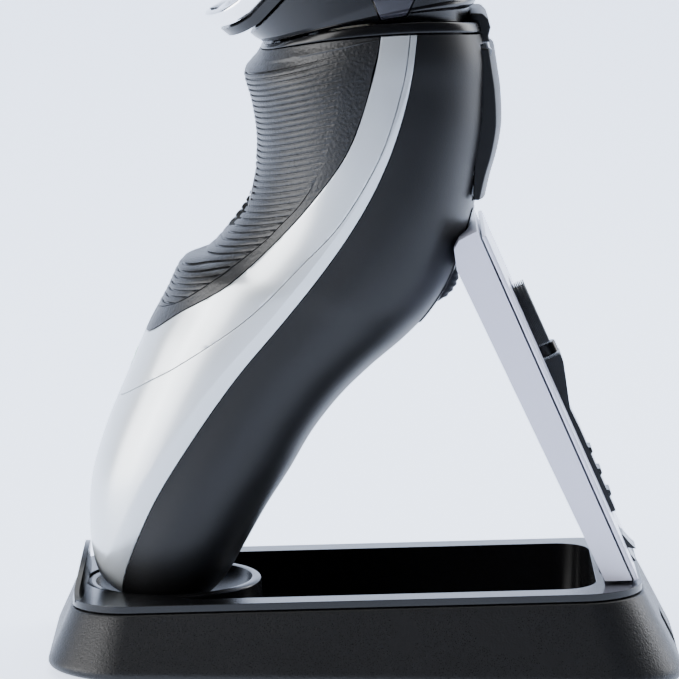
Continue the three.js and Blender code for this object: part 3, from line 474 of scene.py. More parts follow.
def skinAt(t, angle, offset=0.0):
    # Points on the skin: t counts stations from the foot, angle is 0 at the rear and pi at the front.
    # Below station 0 the foot closes with a shallow dome.
    t, angle, offset = np.broadcast_arrays(*(np.asarray(a, float) for a in (t, angle, offset)))
    inside = np.clip(t, 0, lastStation)
    fx, fz, rx, rz, half = (np.interp(inside, skinSteps, skinLine[:, k]) for k in range(5))
    foot = np.clip(-t, 0, 1)
    shrink = np.sqrt(np.maximum(1 - foot ** 2, 0))
    length = np.hypot(rx - fx, rz - fz)
    ax, az = (rx - fx) / length, (rz - fz) / length
    power = 2 / handle["squareness"]
    c, s = np.cos(angle), np.sin(angle)
    along = np.sign(c) * np.abs(c) ** power * (length / 2 + offset) * shrink
    side = np.sign(s) * np.abs(s) ** power * (half + offset) * shrink
    drop = foot * 1.6 - np.where(foot > 0, offset, 0) * foot
    x = (fx + rx) / 2 + ax * along + az * drop
    z = (fz + rz) / 2 + az * along - ax * drop
    z = z + handle["crown"] * np.clip((t - 14.5) / 3.5, 0, 1) ** 2 * s ** 2
    return np.stack([x, -side, z], axis=-1)


def edgeLine(points, shift=0.0):
    # An edge line as x over z, moved sideways by shift (positive towards the rear).
    line = smoothLine(points, 20)
    run = np.gradient(line, axis=0)
    run /= np.linalg.norm(run, axis=1)[:, None]
    line = line + np.stack([-run[:, 1], run[:, 0]], axis=1) * shift
    order = np.argsort(line[:, 1])
    return line[order, 1], line[order, 0]


def edgeX(edge, z):
    return np.interp(z, edge[0], edge[1])


def angleOn(edge, t):
    # The angle at which the sections at t cross an edge line: pi where it has run off the front.
    low, high = np.full(len(t), 0.0), np.full(len(t), math.pi)  # rear, front
    for _ in range(40):
        middle = (low + high) / 2
        spot = skinAt(t, middle)
        front = spot[:, 0] < edgeX(edge, spot[:, 2])
        high = np.where(front, middle, high)
        low = np.where(front, low, middle)
    return np.where(math.pi - low < 1e-3, math.pi, np.where(high < 1e-3, 0.0, (low + high) / 2))


rearLine = edgeLine(handle["rearEdge"])


def facetDip(x, z):
    # How far the skin is drawn in on both sides of the line between the silver and the black cover.
    width = np.interp(z, [8, 60, 110, 134], [handle["facetWidth"], 4.0, 2.2, 0.3])
    past = x - edgeX(rearLine, z)
    depth = handle["facetSlope"] * width
    return np.where(past < 0, depth * np.clip(1 + past / width, 0, 1), depth * np.exp(-(past / 7.0) ** 2))


def coverWall(frontEdge, rearEdge, t, columns):
    # The part of the shell between two edge lines, on both sides of the handle.
    front = angleOn(frontEdge, t)
    rear = np.zeros(len(t)) if rearEdge is None else angleOn(rearEdge, t)
    share = np.linspace(0, 1, columns + 1)
    angle = front[:, None] + (rear - front)[:, None] * share[None, :]
    if rearEdge is None:
        angle = angle[:, ::-1]
    spots = skinAt(t[:, None], angle)
    dip = facetDip(spots[..., 0], spots[..., 2])
    outer = skinAt(t[:, None], angle, -dip)
    inner = skinAt(t[:, None], angle, -dip - handle["wall"])
    return slabBetween(bothSides(outer), bothSides(inner))


def skinTube(offset, low, high, rows=60, columns=72):
    # The whole skin between two stations as a closed body.
    t = np.linspace(low, high, rows)
    spots = skinAt(t[:, None], np.linspace(0, 2 * math.pi, columns + 1)[None, :], offset)
    bm = gridFrom(spots)
    bmesh.ops.holes_fill(bm, edges=bm.edges, sides=0)
    bmesh.ops.recalc_face_normals(bm, faces=bm.faces)
    return bm


grip = {
    "pitch": 1.26,
    "grooveDeep": 0.5,
    "firstRib": 130.8,  # height at the front of the highest groove
    "lowRow": 66.0,
    "slopeTop": 0.31,
    "slopeLow": 0.2,
    "ribEdge": [(-6.5, 150), (-7.0, 137), (-8.6, 124), (-11.6, 112.5), (-15.7, 104.6), (-20.7, 98.7),
                (-24.1, 95.0), (-30.4, 89.6), (-35.6, 85.7), (-41.9, 81.1), (-48.5, 77.4), (-58, 72)],
    "seamDeep": 0.35,
}
button = {"station": 12.05, "radius": 6.5, "ring": 8.2, "sunk": 0.7}


def frontFrame(station):
    spot = Vector(skinAt(station, math.pi))
    back = (Vector(skinAt(station, 0.0)) - spot).normalized()
    turn = (-back).to_track_quat("Z", "X").to_matrix().to_4x4()
    return spot, back, Matrix.Translation(spot) @ turn


def buildGrip():
    gripLine = edgeLine(handle["gripEdge"], -gap / 2)
    ribLine = edgeLine(grip["ribEdge"])
    top = 135.9
    slopes = lambda z0: np.interp(z0, [grip["lowRow"], 136], [grip["slopeLow"], grip["slopeTop"]])
    # Height of every row of the grid at the front: close together at each groove's walls.
    rows = [top, 135.0, 134.0, 133.2, 132.9, 132.5, 132.0, 131.4]
    base = grip["firstRib"]
    while base > grip["lowRow"] + 2:
        rows += [base, base - 0.07, base - 0.36, base - 0.44, base - 0.72, base - 1.0]
        base -= grip["pitch"]
    z0 = np.array(rows)
    slope = slopes(z0)
    onRow = lambda x: z0 + slope * (x + 27)

    def crossing(edge):
        low, high = np.full(len(z0), -70.0), np.full(len(z0), 8.0)
        for _ in range(40):
            middle = (low + high) / 2
            front = middle < edgeX(edge, onRow(middle))
            low, high = np.where(front, middle, low), np.where(front, high, middle)
        return (low + high) / 2

    def angleAt(x):
        z = onRow(x)
        low, high = np.full(len(z0), 4.0), np.full(len(z0), float(lastStation))
        for _ in range(40):
            middle = (low + high) / 2
            ends = skinAt(middle[:, None], np.array([math.pi, 0.0])[None, :])
            a, b = ends[:, 0], ends[:, 1]
            above = (b[:, 0] - a[:, 0]) * (z - a[:, 2]) - (b[:, 2] - a[:, 2]) * (x - a[:, 0]) > 0
            low, high = np.where(above, middle, low), np.where(above, high, middle)
        reach = np.hypot(b[:, 0] - a[:, 0], b[:, 2] - a[:, 2]) / 2
        along = (x - a[:, 0]) * (b[:, 0] - a[:, 0]) + (z - a[:, 2]) * (b[:, 2] - a[:, 2])
        share = along / (2 * reach ** 2) - 1
        share = np.clip(share, -1, 1)
        return np.arccos(np.sign(share) * np.abs(share) ** (handle["squareness"] / 2))

    endAngle = angleAt(crossing(gripLine))
    keep = endAngle < math.pi - 0.004
    ribAngle = np.maximum(angleAt(crossing(ribLine)), endAngle + 0.002)
    z0, slope, endAngle, ribAngle = z0[keep], slope[keep], endAngle[keep], ribAngle[keep]
    shares = np.linspace(0, 1, 31)
    seamShares = np.array([0.06, 0.12, 0.3, 0.55, 0.8, 1.0])  # from the ribs' edge to the silver
    ribbed = math.pi + (ribAngle - math.pi)[:, None] * shares[None, :]
    seam = ribAngle[:, None] + (endAngle - ribAngle)[:, None] * seamShares[None, :]
    angle = np.hstack([ribbed, seam])
    low, high = np.full(angle.shape, 4.0), np.full(angle.shape, float(lastStation))
    for _ in range(40):
        middle = (low + high) / 2
        spot = skinAt(middle, angle)
        under = spot[..., 2] < z0[:, None] + slope[:, None] * (spot[..., 0] + 27)
        low, high = np.where(under, middle, low), np.where(under, high, middle)
    # The smooth band above the ribs runs from the first row of the ribs up to the neck collar.
    for row, share in enumerate((1.0, 0.8, 0.6, 0.45, 0.36, 0.26, 0.14)):
        middle[row] = middle[7] + (coverTop - middle[7]) * share
        edge, crease = angleOn(gripLine, middle[row, -1:]), angleOn(ribLine, middle[row, -1:])
        first = math.pi + (crease - math.pi) * shares
        angle[row] = np.concatenate([first, crease + (edge - crease) * seamShares])
    spots = skinAt(middle, angle)
    # Grooves between the ribs, fading towards the rear.
    phase = np.mod(grip["firstRib"] - z0, grip["pitch"])
    groove = np.where((z0 <= grip["firstRib"] - 0.05) & (phase > 0.04) & (phase < 0.4), 1.0, 0.0)
    swell = 0.1 * np.sin(np.clip((phase - 0.4) / 0.86, 0, 1) * math.pi)
    crown = np.where(z0 < grip["firstRib"] - 0.4, swell, 0)
    lip = np.where((z0 < 133.3) & (z0 > 132.7), 0.16, 0.0)
    fadeWidth = np.interp(spots[..., 2], [100, 116], [0.9, 7.0])
    fade = np.clip((edgeX(ribLine, spots[..., 2]) - spots[..., 0]) / fadeWidth, 0, 1)
    push = (crown - groove * grip["grooveDeep"])[:, None] * fade + lip[:, None]
    seamDepth = np.interp(spots[:, 31, 2], [102, 110], [grip["seamDeep"], 0.0])
    push[:, 31] -= seamDepth
    spots = skinAt(middle, angle, push)
    inner = skinAt(middle, angle, -handle["wall"])
    obj = blank("rubberGrip", slabBetween(bothSides(spots), bothSides(inner)))
    spot, back, _ = frontFrame(button["station"])
    carve(obj, [blank("hole", rod(spot - back * 8, spot + back * 6, button["ring"] + gap, 72))])
    finished(obj, "rubber_black", "handle", ["rubber_grip"], sharp=28)


def rearPatch(t, y, offset):
    # A point at the rear of the handle from its station and its distance across.
    half = np.interp(t, skinSteps, skinLine[:, 4]) + offset
    share = np.clip(np.abs(y) / half, 0, 1) ** (handle["squareness"] / 2)
    return skinAt(t, -np.sign(y) * np.arcsin(share), offset)


def rearPad(low, high, half, outer, inner, rows=30, columns=30):
    # A block that follows the rear of the handle, between two offsets from its skin.
    t, y = np.meshgrid(np.linspace(low, high, rows + 1), np.linspace(-half, half, columns + 1),
                       indexing="ij")
    level = outer(t, y) if callable(outer) else np.full(t.shape, float(outer))
    return slabBetween(rearPatch(t, y, level), rearPatch(t, y, np.full(t.shape, float(inner))))


slider = {"plate": (9.62, 12.95), "plateHalf": 7.7, "thumb": (10.3, 11.35), "thumbHalf": 5.6, "ribs": 6}
lid = {
    "half": 13.0,
    "span": (137.0, 104.0),  # top and bottom heights
    "profile": [(103.7, 24.0), (109, 25.1), (113.5, 26.3), (118, 27.1), (121.7, 27.3), (127.6, 26.9),
                (132, 26.2), (137.6, 25.2)],
}


def buildCovers():
    fine = np.concatenate([np.arange(coverTop, 7.6, -0.08), np.arange(7.6, 5.4, -0.02)])
    gripLine = edgeLine(handle["gripEdge"], gap / 2)
    panelFront, panelRear = edgeLine(handle["panelEdge"], -0.1), edgeLine(handle["panelEdge"], 0.1)
    silverRear, blackFront = edgeLine(handle["rearEdge"], -0.12), edgeLine(handle["rearEdge"], 0.12)
    ends = angleOn(panelFront, fine)
    panel = blank("silverPanel", coverWall(gripLine, panelFront, fine[ends < math.pi - 0.01], 14))
    spot, back, _ = frontFrame(6.35)
    carve(panel, [blank("hole", rod(spot - back * 6, spot + back * 5, 2.5 + gap, 40))])
    finished(panel, "silver", "handle", ["upper_front_panel"], bevel=handle["edgeRound"])
    footRows = np.array([0, -0.2, -0.4, -0.6, -0.75, -0.87, -0.95, -0.99])
    rows = np.concatenate([np.arange(coverTop, 6.2, -0.1), np.arange(6.2, 5.2, -0.03),
                           np.arange(5.2, 0, -0.08), footRows])
    socketHole = lambda: blank("hole", cuboid((-49.6, -6.9, 5), (-39.4, 6.9, 15.4)))
    front = blank("silverFront", coverWall(panelRear, silverRear, rows, 40))
    carve(front, [socketHole()])
    finished(front, "silver", "handle", ["lower_front_shell"], bevel=handle["edgeRound"])
    rows = np.concatenate([np.arange(coverTop, 0, -0.12), footRows])
    rear = blank("softRearCover", coverWall(blackFront, None, rows, 52))
    a, b = slider["plate"]
    platePocket = blank("pocket", rearPad(a - 0.05, b + 0.05, slider["plateHalf"] + gap, 4.0, -1.2, 12, 16))
    lidPocket = blank("pocket", cuboid((21.0, -lid["half"] - gap, 103.4), (40, lid["half"] + gap, 137.9)))
    carve(rear, [socketHole(), platePocket, lidPocket])
    finished(rear, "soft_black", "handle", ["rear_shell"], bevel=handle["edgeRound"])
    t, angle = np.linspace(0.4, lastStation - 0.05, 90)[:, None], np.linspace(0, 2 * math.pi, 65)[None, :]
    depth = handle["wall"] + 0.35 + 1.6
    core = blank("innerHousing", slabBetween(skinAt(t, angle, -depth + 1.2), skinAt(t, angle, -depth)))
    spot, back, _ = frontFrame(button["station"])
    carve(core, [blank("hole", rod(spot - back * 8, spot + back * 6, button["ring"] + gap, 48)),
                 blank("hole", cuboid((21.0, -lid["half"] - 1, 103), (40, lid["half"] + 1, 138)))])
    finished(core, "satin_black", "handle")


collar = {"low": 0.3, "proud": 0.3, "thick": 1.9, "rearHalf": 11.0, "rearTop": 144.4, "rearLow": 138.2}


def buildCollar():
    turns = np.linspace(0, math.pi, 13)
    span = collar["low"] / 2
    bend = lastStation - span - span * 0.97 * np.cos(turns)
    t = np.concatenate([[lastStation - collar["low"]], bend, [lastStation]])
    push = np.concatenate([[-0.5], collar["proud"] * np.sin(turns) ** 0.7 - 0.1, [-0.5]])
    angle = np.linspace(0, 2 * math.pi, 121)[None, :]
    wall = slabBetween(skinAt(t[:, None], angle, push[:, None]),
                       skinAt(t[:, None], angle, np.full((len(t), 1), -collar["thick"])))
    finished(blank("neckCollar", wall), "satin_black", "handle", bevel=0.12)
    x = 23.4
    low, top = collar["rearLow"], collar["rearTop"]
    block = sideProfile([(x - 4.4, low), (x + 1.0, low), (x + 0.4, low + 0.9), (x + 0.9, 141.4),
                         (x + 0.3, top - 1.2), (x - 0.9, top), (x - 3.6, top)],
                        -collar["rearHalf"], collar["rearHalf"])
    finished(blank("neckRearBlock", block), "soft_black", "handle", bevel=0.5, steps=3)


def buildTrimmer():
    z, y = np.meshgrid(np.linspace(*lid["span"], 61), np.linspace(-lid["half"], lid["half"], 41),
                       indexing="ij")
    line = smoothLine(lid["profile"], 20)
    crown = np.interp(z, line[:, 0], line[:, 1])
    outer = crown - 1.5 * (np.abs(y) / lid["half"]) ** 3
    t = np.interp(z, skinLine[:, 3], skinSteps)
    skin = rearPatch(t, y, -1.5)[..., 0]
    hollow = (z < 112.4) & (np.abs(y) < 11.6)
    inner = np.where(hollow, outer - 0.8, np.minimum(skin, outer - 1.2))
    inner = np.maximum(inner, 21.3)
    bm = slabBetween(np.stack([outer, y, z], axis=-1), np.stack([inner, y, z], axis=-1))
    finished(blank("trimmerLid", bm), "soft_black", "trimmer", ["trimmer_lid"], bevel=1.0, steps=5, sharp=50)
    finished(blank("lidPin", rod((23.9, -12.3, 136.3), (23.9, 12.3, 136.3), 0.8, 32)), "steel", "handle",
             ["trimmer_pin"])
    a, b = slider["plate"]
    plate = blank("sliderPlate", rearPad(a, b, slider["plateHalf"], 0.3, -0.9, 20, 16))
    low, high = slider["thumb"]
    slot = rearPad(low - 0.62, high + 0.1, slider["thumbHalf"] + gap, 3.0, -2.0, 8, 8)
    carve(plate, [blank("slot", slot)])
    finished(plate, "satin_black", "handle", ["slider_track"], bevel=0.25)

    def thumbShape(t, y):
        f = np.clip((t - low) / (high - low), 0, 1)
        g = np.clip(1 - (np.abs(y) / slider["thumbHalf"]) ** 4, 0, 1)
        bump = 1.6 * np.sin(np.clip(f * 1.05, 0, 1) * math.pi) ** 0.6
        ribs = 0.28 * (0.5 + 0.5 * np.cos(f * slider["ribs"] * 2 * math.pi)) * (f > 0.12) * (f < 0.9)
        return 0.35 + (bump + ribs) * g

    finished(blank("trimmerThumb", rearPad(low, high, slider["thumbHalf"], thumbShape, -0.3, 60, 20)),
             "soft_black", "slider", ["trimmer_slider"], bevel=0.2, sharp=55)


def buildFrontTrim():
    _, _, place = frontFrame(button["station"])
    sunk = -button["sunk"]
    ring = turned([(button["radius"] + gap, sunk - 2.0), (button["radius"] + gap, sunk - 0.3),
                   (button["radius"] + 0.55, sunk), (button["ring"] - 0.3, sunk),
                   (button["ring"], sunk - 0.3), (button["ring"], sunk - 2.0),
                   (button["radius"] + gap, sunk - 2.0)], 96, place)
    finished(blank("buttonRing", ring), "dark_grey", "handle", ["button_ring"], sharp=60)
    cap = turned([(0, sunk - 2.0), (button["radius"], sunk - 2.0), (button["radius"], sunk - 0.4),
                  (button["radius"] - 0.5, sunk), (4.2, sunk - 0.12), (3.9, sunk - 0.42), (2.0, sunk - 0.6),
                  (0, sunk - 0.64)], 96, place)
    finished(blank("powerButton", cap), "silver", "button", ["power_button"], sharp=50)
    _, _, place = frontFrame(6.35)
    lens = turned([(0, -2.4), (2.5, -2.4), (2.5, -0.35), (2.2, -0.1), (1.0, 0.04), (0, 0.06)], 48, place)
    finished(blank("chargeLight", lens), "lens", "handle", ["charge_light"], sharp=60)


head = {
    "tilt": 50.0,
    "centre": (-18.2, 0.0, 161.2),
    "spots": [(-11.3, 0.0), (9.2, 11.9), (9.2, -11.9)],
    "bezel": (16.2, 12.8, -4.5, 0.0),
    "frame": (15.9, -7.0, -4.8),
    "holder": (12.4, -5.8, -1.0),
    "guardHole": 11.4,
    "slots": 45,
    "hinge": (27.2, -8.4),
    "curl": 3.0,
}
headPlace = Matrix.Translation(head["centre"]) @ Matrix.Rotation(-math.radians(head["tilt"]), 4, "Y")


def hullBlock(radius, low, high, segments=72):
    # The block round three equal cylinders, standing at the three cutting heads.
    bm = bmesh.new()
    for x, y in head["spots"]:
        for height in (low, high):
            bmesh.ops.create_circle(bm, cap_ends=False, segments=segments, radius=radius,
                                    matrix=Matrix.Translation((x, y, height)))
    bmesh.ops.delete(bm, geom=bm.edges[:], context="EDGES_FACES")
    result = bmesh.ops.convex_hull(bm, input=bm.verts[:], use_existing_faces=False)
    spare = [g for g in result["geom_interior"] + result["geom_unused"] if isinstance(g, bmesh.types.BMVert)]
    bmesh.ops.delete(bm, geom=list(set(spare)), context="VERTS")
    bmesh.ops.dissolve_limit(bm, angle_limit=math.radians(0.5), verts=bm.verts[:], edges=bm.edges[:])
    bmesh.ops.recalc_face_normals(bm, faces=bm.faces)
    return bm


def placed(bm, matrix=headPlace):
    bmesh.ops.transform(bm, matrix=matrix, verts=bm.verts)
    return bm


chamber = {
    # front x, front z, rear x, rear z, half width, how much wider the rear is
    "stations": [(-24.6, 136.6, 21.6, 142.4, 25.2, 0.0), (-26.6, 137.6, 19.4, 157.0, 26.4, 0.06),
                 (-28.2, 138.8, 12.0, 170.6, 27.4, 0.14), (-29.9, 140.4, 3.6, 177.5, 27.6, 0.22)],
    "rim": [(-33, 139.4), (-28.0, 141.6), (-22.0, 144.4), (-15.0, 147.0), (-7.2, 148.6), (-3.0, 148.8),
            (9.4, 148.8), (18.1, 147.4), (26, 146.8)],
    "top": -7.4,
    "tab": [(0.6, 143.9), (5.8, 144.9), (9.6, 153.5), (-3.4, 153.5)],
}
chamberLine = smoothLine(chamber["stations"])


def chamberAt(t, angle, offset):
    t, angle, offset = np.broadcast_arrays(*(np.asarray(a, float) for a in (t, angle, offset)))
    steps = np.linspace(0, 1, len(chamberLine))
    fx, fz, rx, rz, half, taper = (np.interp(t, steps, chamberLine[:, k]) for k in range(6))
    length = np.hypot(rx - fx, rz - fz)
    ax, az = (rx - fx) / length, (rz - fz) / length
    power = 2 / handle["squareness"]
    c, s = np.cos(angle), np.sin(angle)
    along = np.sign(c) * np.abs(c) ** power
    side = np.sign(s) * np.abs(s) ** power * (half + offset) * (1 + taper * along)
    reach = along * (length / 2 + offset)
    z = (fz + rz) / 2 + az * reach + handle["crown"] * np.clip(1 - t / 0.3, 0, 1) * s ** 2
    return np.stack([(fx + rx) / 2 + ax * reach, side, z], axis=-1)


def tabBlock(margin, near, far):
    (x0, z0), (x1, z1), (x2, z2), (x3, z3) = chamber["tab"]
    return sideProfile([(x0 - margin, z0 - margin), (x1 + margin, z1 - margin), (x2 + margin, z2 + margin),
                        (x3 - margin, z3 + margin)], near, far)


def chamberShell(name, offset, wall):
    t = np.concatenate([np.linspace(0, 0.14, 29), np.linspace(0.15, 1, 50)])[:, None]
    angle = np.linspace(0, 2 * math.pi, 121)[None, :]
    # A drawn-in neck, a rounded ring above it, then the plain fan.
    ring = np.interp(t, [0, 0.07, 0.08, 0.09, 0.105, 0.12, 0.13, 1],
                     [-1.5, -1.3, -0.4, 0.0, 0.18, 0.1, 0.0, 0.0])
    obj = blank(name, slabBetween(chamberAt(t, angle, ring + offset), chamberAt(t, angle, offset - wall)))
    above = placed(cuboid((-80, -80, chamber["top"]), (80, 80, 80)))
    return carve(obj, [blank("above", above)])


def buildChamber():
    shell = chamberShell("hairChamber", 0.0, 1.6)
    for name, side in (("Near", -1), ("Far", 1)):
        carve(shell, [blank("hole", tabBlock(gap, side * 15, side * 40))])
        tab = chamberShell("releaseTab" + name, 0.25, 1.5)
        carve(tab, [blank("keep", tabBlock(0, side * 15, side * 40))], "INTERSECT")
        finished(tab, "dark_grey", "tab_" + name.lower(), ["release_tab_" + name.lower()],
                 bevel=0.45, steps=3)
    rim = chamberShell("chamberRim", 0.5, 0.4)
    outline = chamber["rim"] + [(26, 185), (-40, 185)]
    carve(rim, [blank("keep", sideProfile(outline, -40, 40))], "INTERSECT")
    for side in (-1, 1):
        carve(rim, [blank("hole", tabBlock(gap, side * 15, side * 40))])
    finished(rim, "satin_black", "handle", bevel=0.22, steps=3)
    x, z = head["hinge"]
    ears = []
    for side in (-1, 1):
        ears.append(blank("ear", placed(rod((x, side * 6.3, z), (x, side * 9.6, z), 2.0, 40))))
    carve(shell, [blank("room", placed(rod((x, -6.3, z), (x, 6.3, z), 2.3, 40)))])
    carve(shell, ears, "UNION")
    carve(shell, [blank("bore", placed(rod((x, -20, z), (x, 20, z), 1.2, 32)))])
    finished(shell, "satin_black", "handle", ["hair_chamber"], bevel=0.25)


def curled(obj):
    # The front end of the head curls outwards.
    for v in obj.data.vertices:
        v.co.z += head["curl"] * max(0.0, (-v.co.x - 17) / 10.5) ** 2
    obj.data.transform(headPlace)
    return obj


def buildHead():
    outer, inner, low, high = head["bezel"]
    bezel = blank("chromeBezel", hullBlock(outer, low, high, 96))
    carve(bezel, [blank("hole", hullBlock(inner, low - 5, high + 5, 96))])
    curled(bezel)
    finished(bezel, "chrome", "head", ["chrome_bezel"], bevel=1.15, steps=6, sharp=50)
    radius, low, high = head["frame"]
    body = blank("headFrame", hullBlock(radius, low, high, 96))
    radius, low, high = head["holder"]
    carve(body, [blank("holder", hullBlock(radius, low, high, 96))], "UNION")
    carve(body, [blank("hole", rod((x, y, -20), (x, y, 20), head["guardHole"], 96))
                 for x, y in head["spots"]])
    x, z = head["hinge"]
    carve(body, [blank("web", cuboid((x - 4, -6, -6.95), (x, 6, -6.2))),
                 blank("eye", rod((x, -6, z), (x, 6, z), 2, 40))], "UNION")
    carve(body, [blank("bore", rod((x, -20, z), (x, 20, z), 1.2, 32))])
    curled(body)
    finished(body, "satin_black", "head", ["head_frame"], bevel=0.3, steps=3)
    for i, (x, y) in enumerate(head["spots"], 1):
        bm = turned([(0, -0.1), (2.6, -0.1), (3.1, -0.35), (3.5, -0.5), (3.9, 0.5), (4.5, 0.85),
                     (4.9, 0.9), (6.5, 0.9), (6.7, 0.72), (7.1, 0.72), (7.3, 0.9), (9.4, 0.9), (10.1, 0.62),
                     (10.8, -0.4), (10.8, -3.6), (10.1, -3.6), (10.1, -0.9), (9.2, 0.2), (4.9, 0.2),
                     (4.0, -1.0), (0, -1.0)], head["slots"] * 2)
        slots = []
        for face in bm.faces:
            spot = face.calc_center_median()
            r = math.hypot(spot.x, spot.y)
            step = math.atan2(spot.y, spot.x) / math.pi * head["slots"]
            slotted = 4.9 < r < 6.5 or 7.3 < r < 9.4
            if face.normal.z > 0.9 and spot.z > 0.8 and slotted and math.floor(step) % 2 == 0:
                slots.append(face)
        bmesh.ops.inset_individual(bm, faces=slots, thickness=0.07, depth=-0.42)
        bmesh.ops.transform(bm, matrix=headPlace @ Matrix.Translation((x, y, 0)), verts=bm.verts)
        finished(blank(f"guardRing_{i}", bm), "steel", f"guard_{i}", [f"guard_{i}"], sharp=40)
        rotor = turned([(0, -1.3), (3.9, -1.3), (4.9, -0.1), (9.0, -0.1), (9.6, -0.9), (9.6, -2.0),
                        (3.4, -2.6), (3.4, -5.6), (2.3, -5.6), (2.3, -2.7), (0, -2.7)], 60)
        blades = []
        for face in rotor.faces:
            spot = face.calc_center_median()
            if face.normal.z > 0.9 and spot.z > -0.3 and math.hypot(spot.x, spot.y) > 5:
                if math.floor(math.atan2(spot.y, spot.x) / math.pi * 30) % 4 != 0:
                    blades.append(face)
        bmesh.ops.inset_individual(rotor, faces=blades, thickness=0.02, depth=-0.9)
        bmesh.ops.transform(rotor, matrix=headPlace @ Matrix.Translation((x, y, 0)), verts=rotor.verts)
        finished(blank(f"cutterRing_{i}", rotor), "steel", f"rotor_{i}", [f"cutter_{i}"], sharp=40)


stand = {
    "left": -64.8, "right": 60.2, "topHalf": 30.8, "halfLength": 70.4, "halfWidth": 37.5, "corner": 13.0,
    "rim": (18.9, 0.045),  # height over the middle, and how much it rises per millimetre along X
    "rimThick": 1.6, "wall": 2.0, "bottom": 0.8, "floor": 8.0,
    "edgeRound": 3.2,
    "recess": (-42.9, 49.8, 24.6, 8.0),
    "screws": [(x, y) for x in (-38, 40) for y in (-18, 18)],
}
cup = {"x": -42.9, "radius": 19.4, "bowl": 17.3, "drop": 0.3}


def rimAt(x):
    return stand["rim"][0] + stand["rim"][1] * x


def roundedLoop(left, right, half, radius, steps=14):
    # Points once round a rectangle with round corners, closed.
    loop = []
    for quarter, (x, y) in enumerate(((right - radius, half - radius), (left + radius, half - radius),
                                      (left + radius, radius - half), (right - radius, radius - half))):
        for i in range(steps + 1):
            angle = (quarter + i / steps) * math.pi / 2
            loop.append((x + radius * math.cos(angle), y + radius * math.sin(angle)))
    return loop + loop[:1]


def buildBase():
    turns = np.linspace(0, math.pi / 2, 9)
    height = rimAt(0) - stand["rimThick"] - gap - stand["bottom"]
    bend = stand["edgeRound"]
    rises = [(bend * (1 - math.cos(a)) / height, bend * (1 - math.sin(a))) for a in turns]
    rises += [(rise, 0.0) for rise in np.linspace(rises[-1][0], 1, 8)[1:]]

    def rings(inset):
        out = []
        for rise, shrink in rises:
            level = lambda a, b: a + (b - a) * rise
            move = inset + shrink * (1 if inset == 0 else 0.7)
            loop = roundedLoop(level(-stand["halfLength"], stand["left"]) + move,
                               level(stand["halfLength"], stand["right"]) - move,
                               level(stand["halfWidth"], stand["topHalf"]) - move,
                               level(stand["corner"] + 4, stand["corner"]) - inset)
            out.append([(x, y, level(stand["bottom"], rimAt(x) - stand["rimThick"] - gap)) for x, y in loop])
        return np.array(out)

    obj = blank("standBase", slabBetween(rings(0.0), rings(stand["wall"])))
    carve(obj, [blank("hole", cuboid((56, -5.3, 3.3), (80, 5.3, 10.7)))])
    finished(obj, "grained_black", "stand", ["stand_base"], bevel=0.35, sharp=50)


def buildTray():
    high = lambda x: rimAt(x)
    low = lambda x: rimAt(x) - stand["rimThick"]
    rim = blank("standTray", roundedPlate(stand["left"] + 0.4, stand["right"] - 0.4, stand["topHalf"] - 0.4,
                                          stand["corner"], low, high, 14))
    tub = blank("tub", roundedPlate(-60.4, 51.6, 26.2, 10, 6.4, lambda x: rimAt(x) - 0.6, 10))
    carve(rim, [tub], "UNION")
    carve(rim, [blank("boss", rod((x, y, 3.2), (x, y, 8), 3, 24)) for x, y in stand["screws"]], "UNION")
    carve(rim, [blank("land", cuboid((49.5, -17, 13), (57.6, 17, rimAt(54) - 0.8)))], "UNION")
    left, right, half, radius = stand["recess"]
    carve(rim, [blank("recess", roundedPlate(left, right, half, radius, stand["floor"], 60, 10)),
                blank("well", rod((cup["x"], 0, 7.2), (cup["x"], 0, 60), cup["radius"] + gap, 96)),
                blank("slot", cuboid((51, -9.4, 12), (58.2, 9.4, 40))),
                blank("bore", rod((54.6, -16, 17.4), (54.6, 16, 17.4), 1.5, 24))])
    carve(rim, [blank("bore", rod((x, y, 2), (x, y, 6.4), 1.5, 24)) for x, y in stand["screws"]])
    carve(rim, [blank("pinHole", rod((cup["x"], y, 4), (cup["x"], y, 10), 1.6, 24)) for y in (-4, 4)])
    finished(rim, "satin_black", "stand", ["stand_tray"], bevel=0.5, steps=3, sharp=40)


lip = {"height": 8.4, "half": 22.0, "lean": 0.2, "thick": (2.6, 1.1)}


def buildLip():
    across, up = np.meshgrid(np.linspace(-1, 1, 61), np.linspace(0, 1, 13), indexing="ij")
    y = across * lip["half"]
    past = np.maximum(np.abs(y) - (stand["topHalf"] - stand["corner"]), 0)
    edge = stand["left"] + 0.4 + stand["corner"] - np.sqrt(stand["corner"] ** 2 - past ** 2)
    height = lip["height"] * np.cos(across * math.pi / 2 * 0.999) ** 1.1 * up
    thick = np.interp(up, [0, 1], lip["thick"])
    outer = np.stack([edge + lip["lean"] * height, y, rimAt(edge) - 0.6 + height + 0.6 * up], axis=-1)
    inside = outer + np.stack([thick, 0 * thick, 0 * thick], axis=-1)
    loop = np.concatenate([outer, inside[:, ::-1]], axis=1)
    loop = np.concatenate([loop, loop[:, :1]], axis=1)
    bm = gridFrom(loop)
    bmesh.ops.holes_fill(bm, edges=bm.edges, sides=0)
    bmesh.ops.recalc_face_normals(bm, faces=bm.faces)
    obj = blank("retainingLip", bm)
    carve(obj, [blank("room", skinTube(0.45, 0, 5, 50, 96))])
    finished(obj, "satin_black", "stand", bevel=0.3, steps=3, sharp=45)


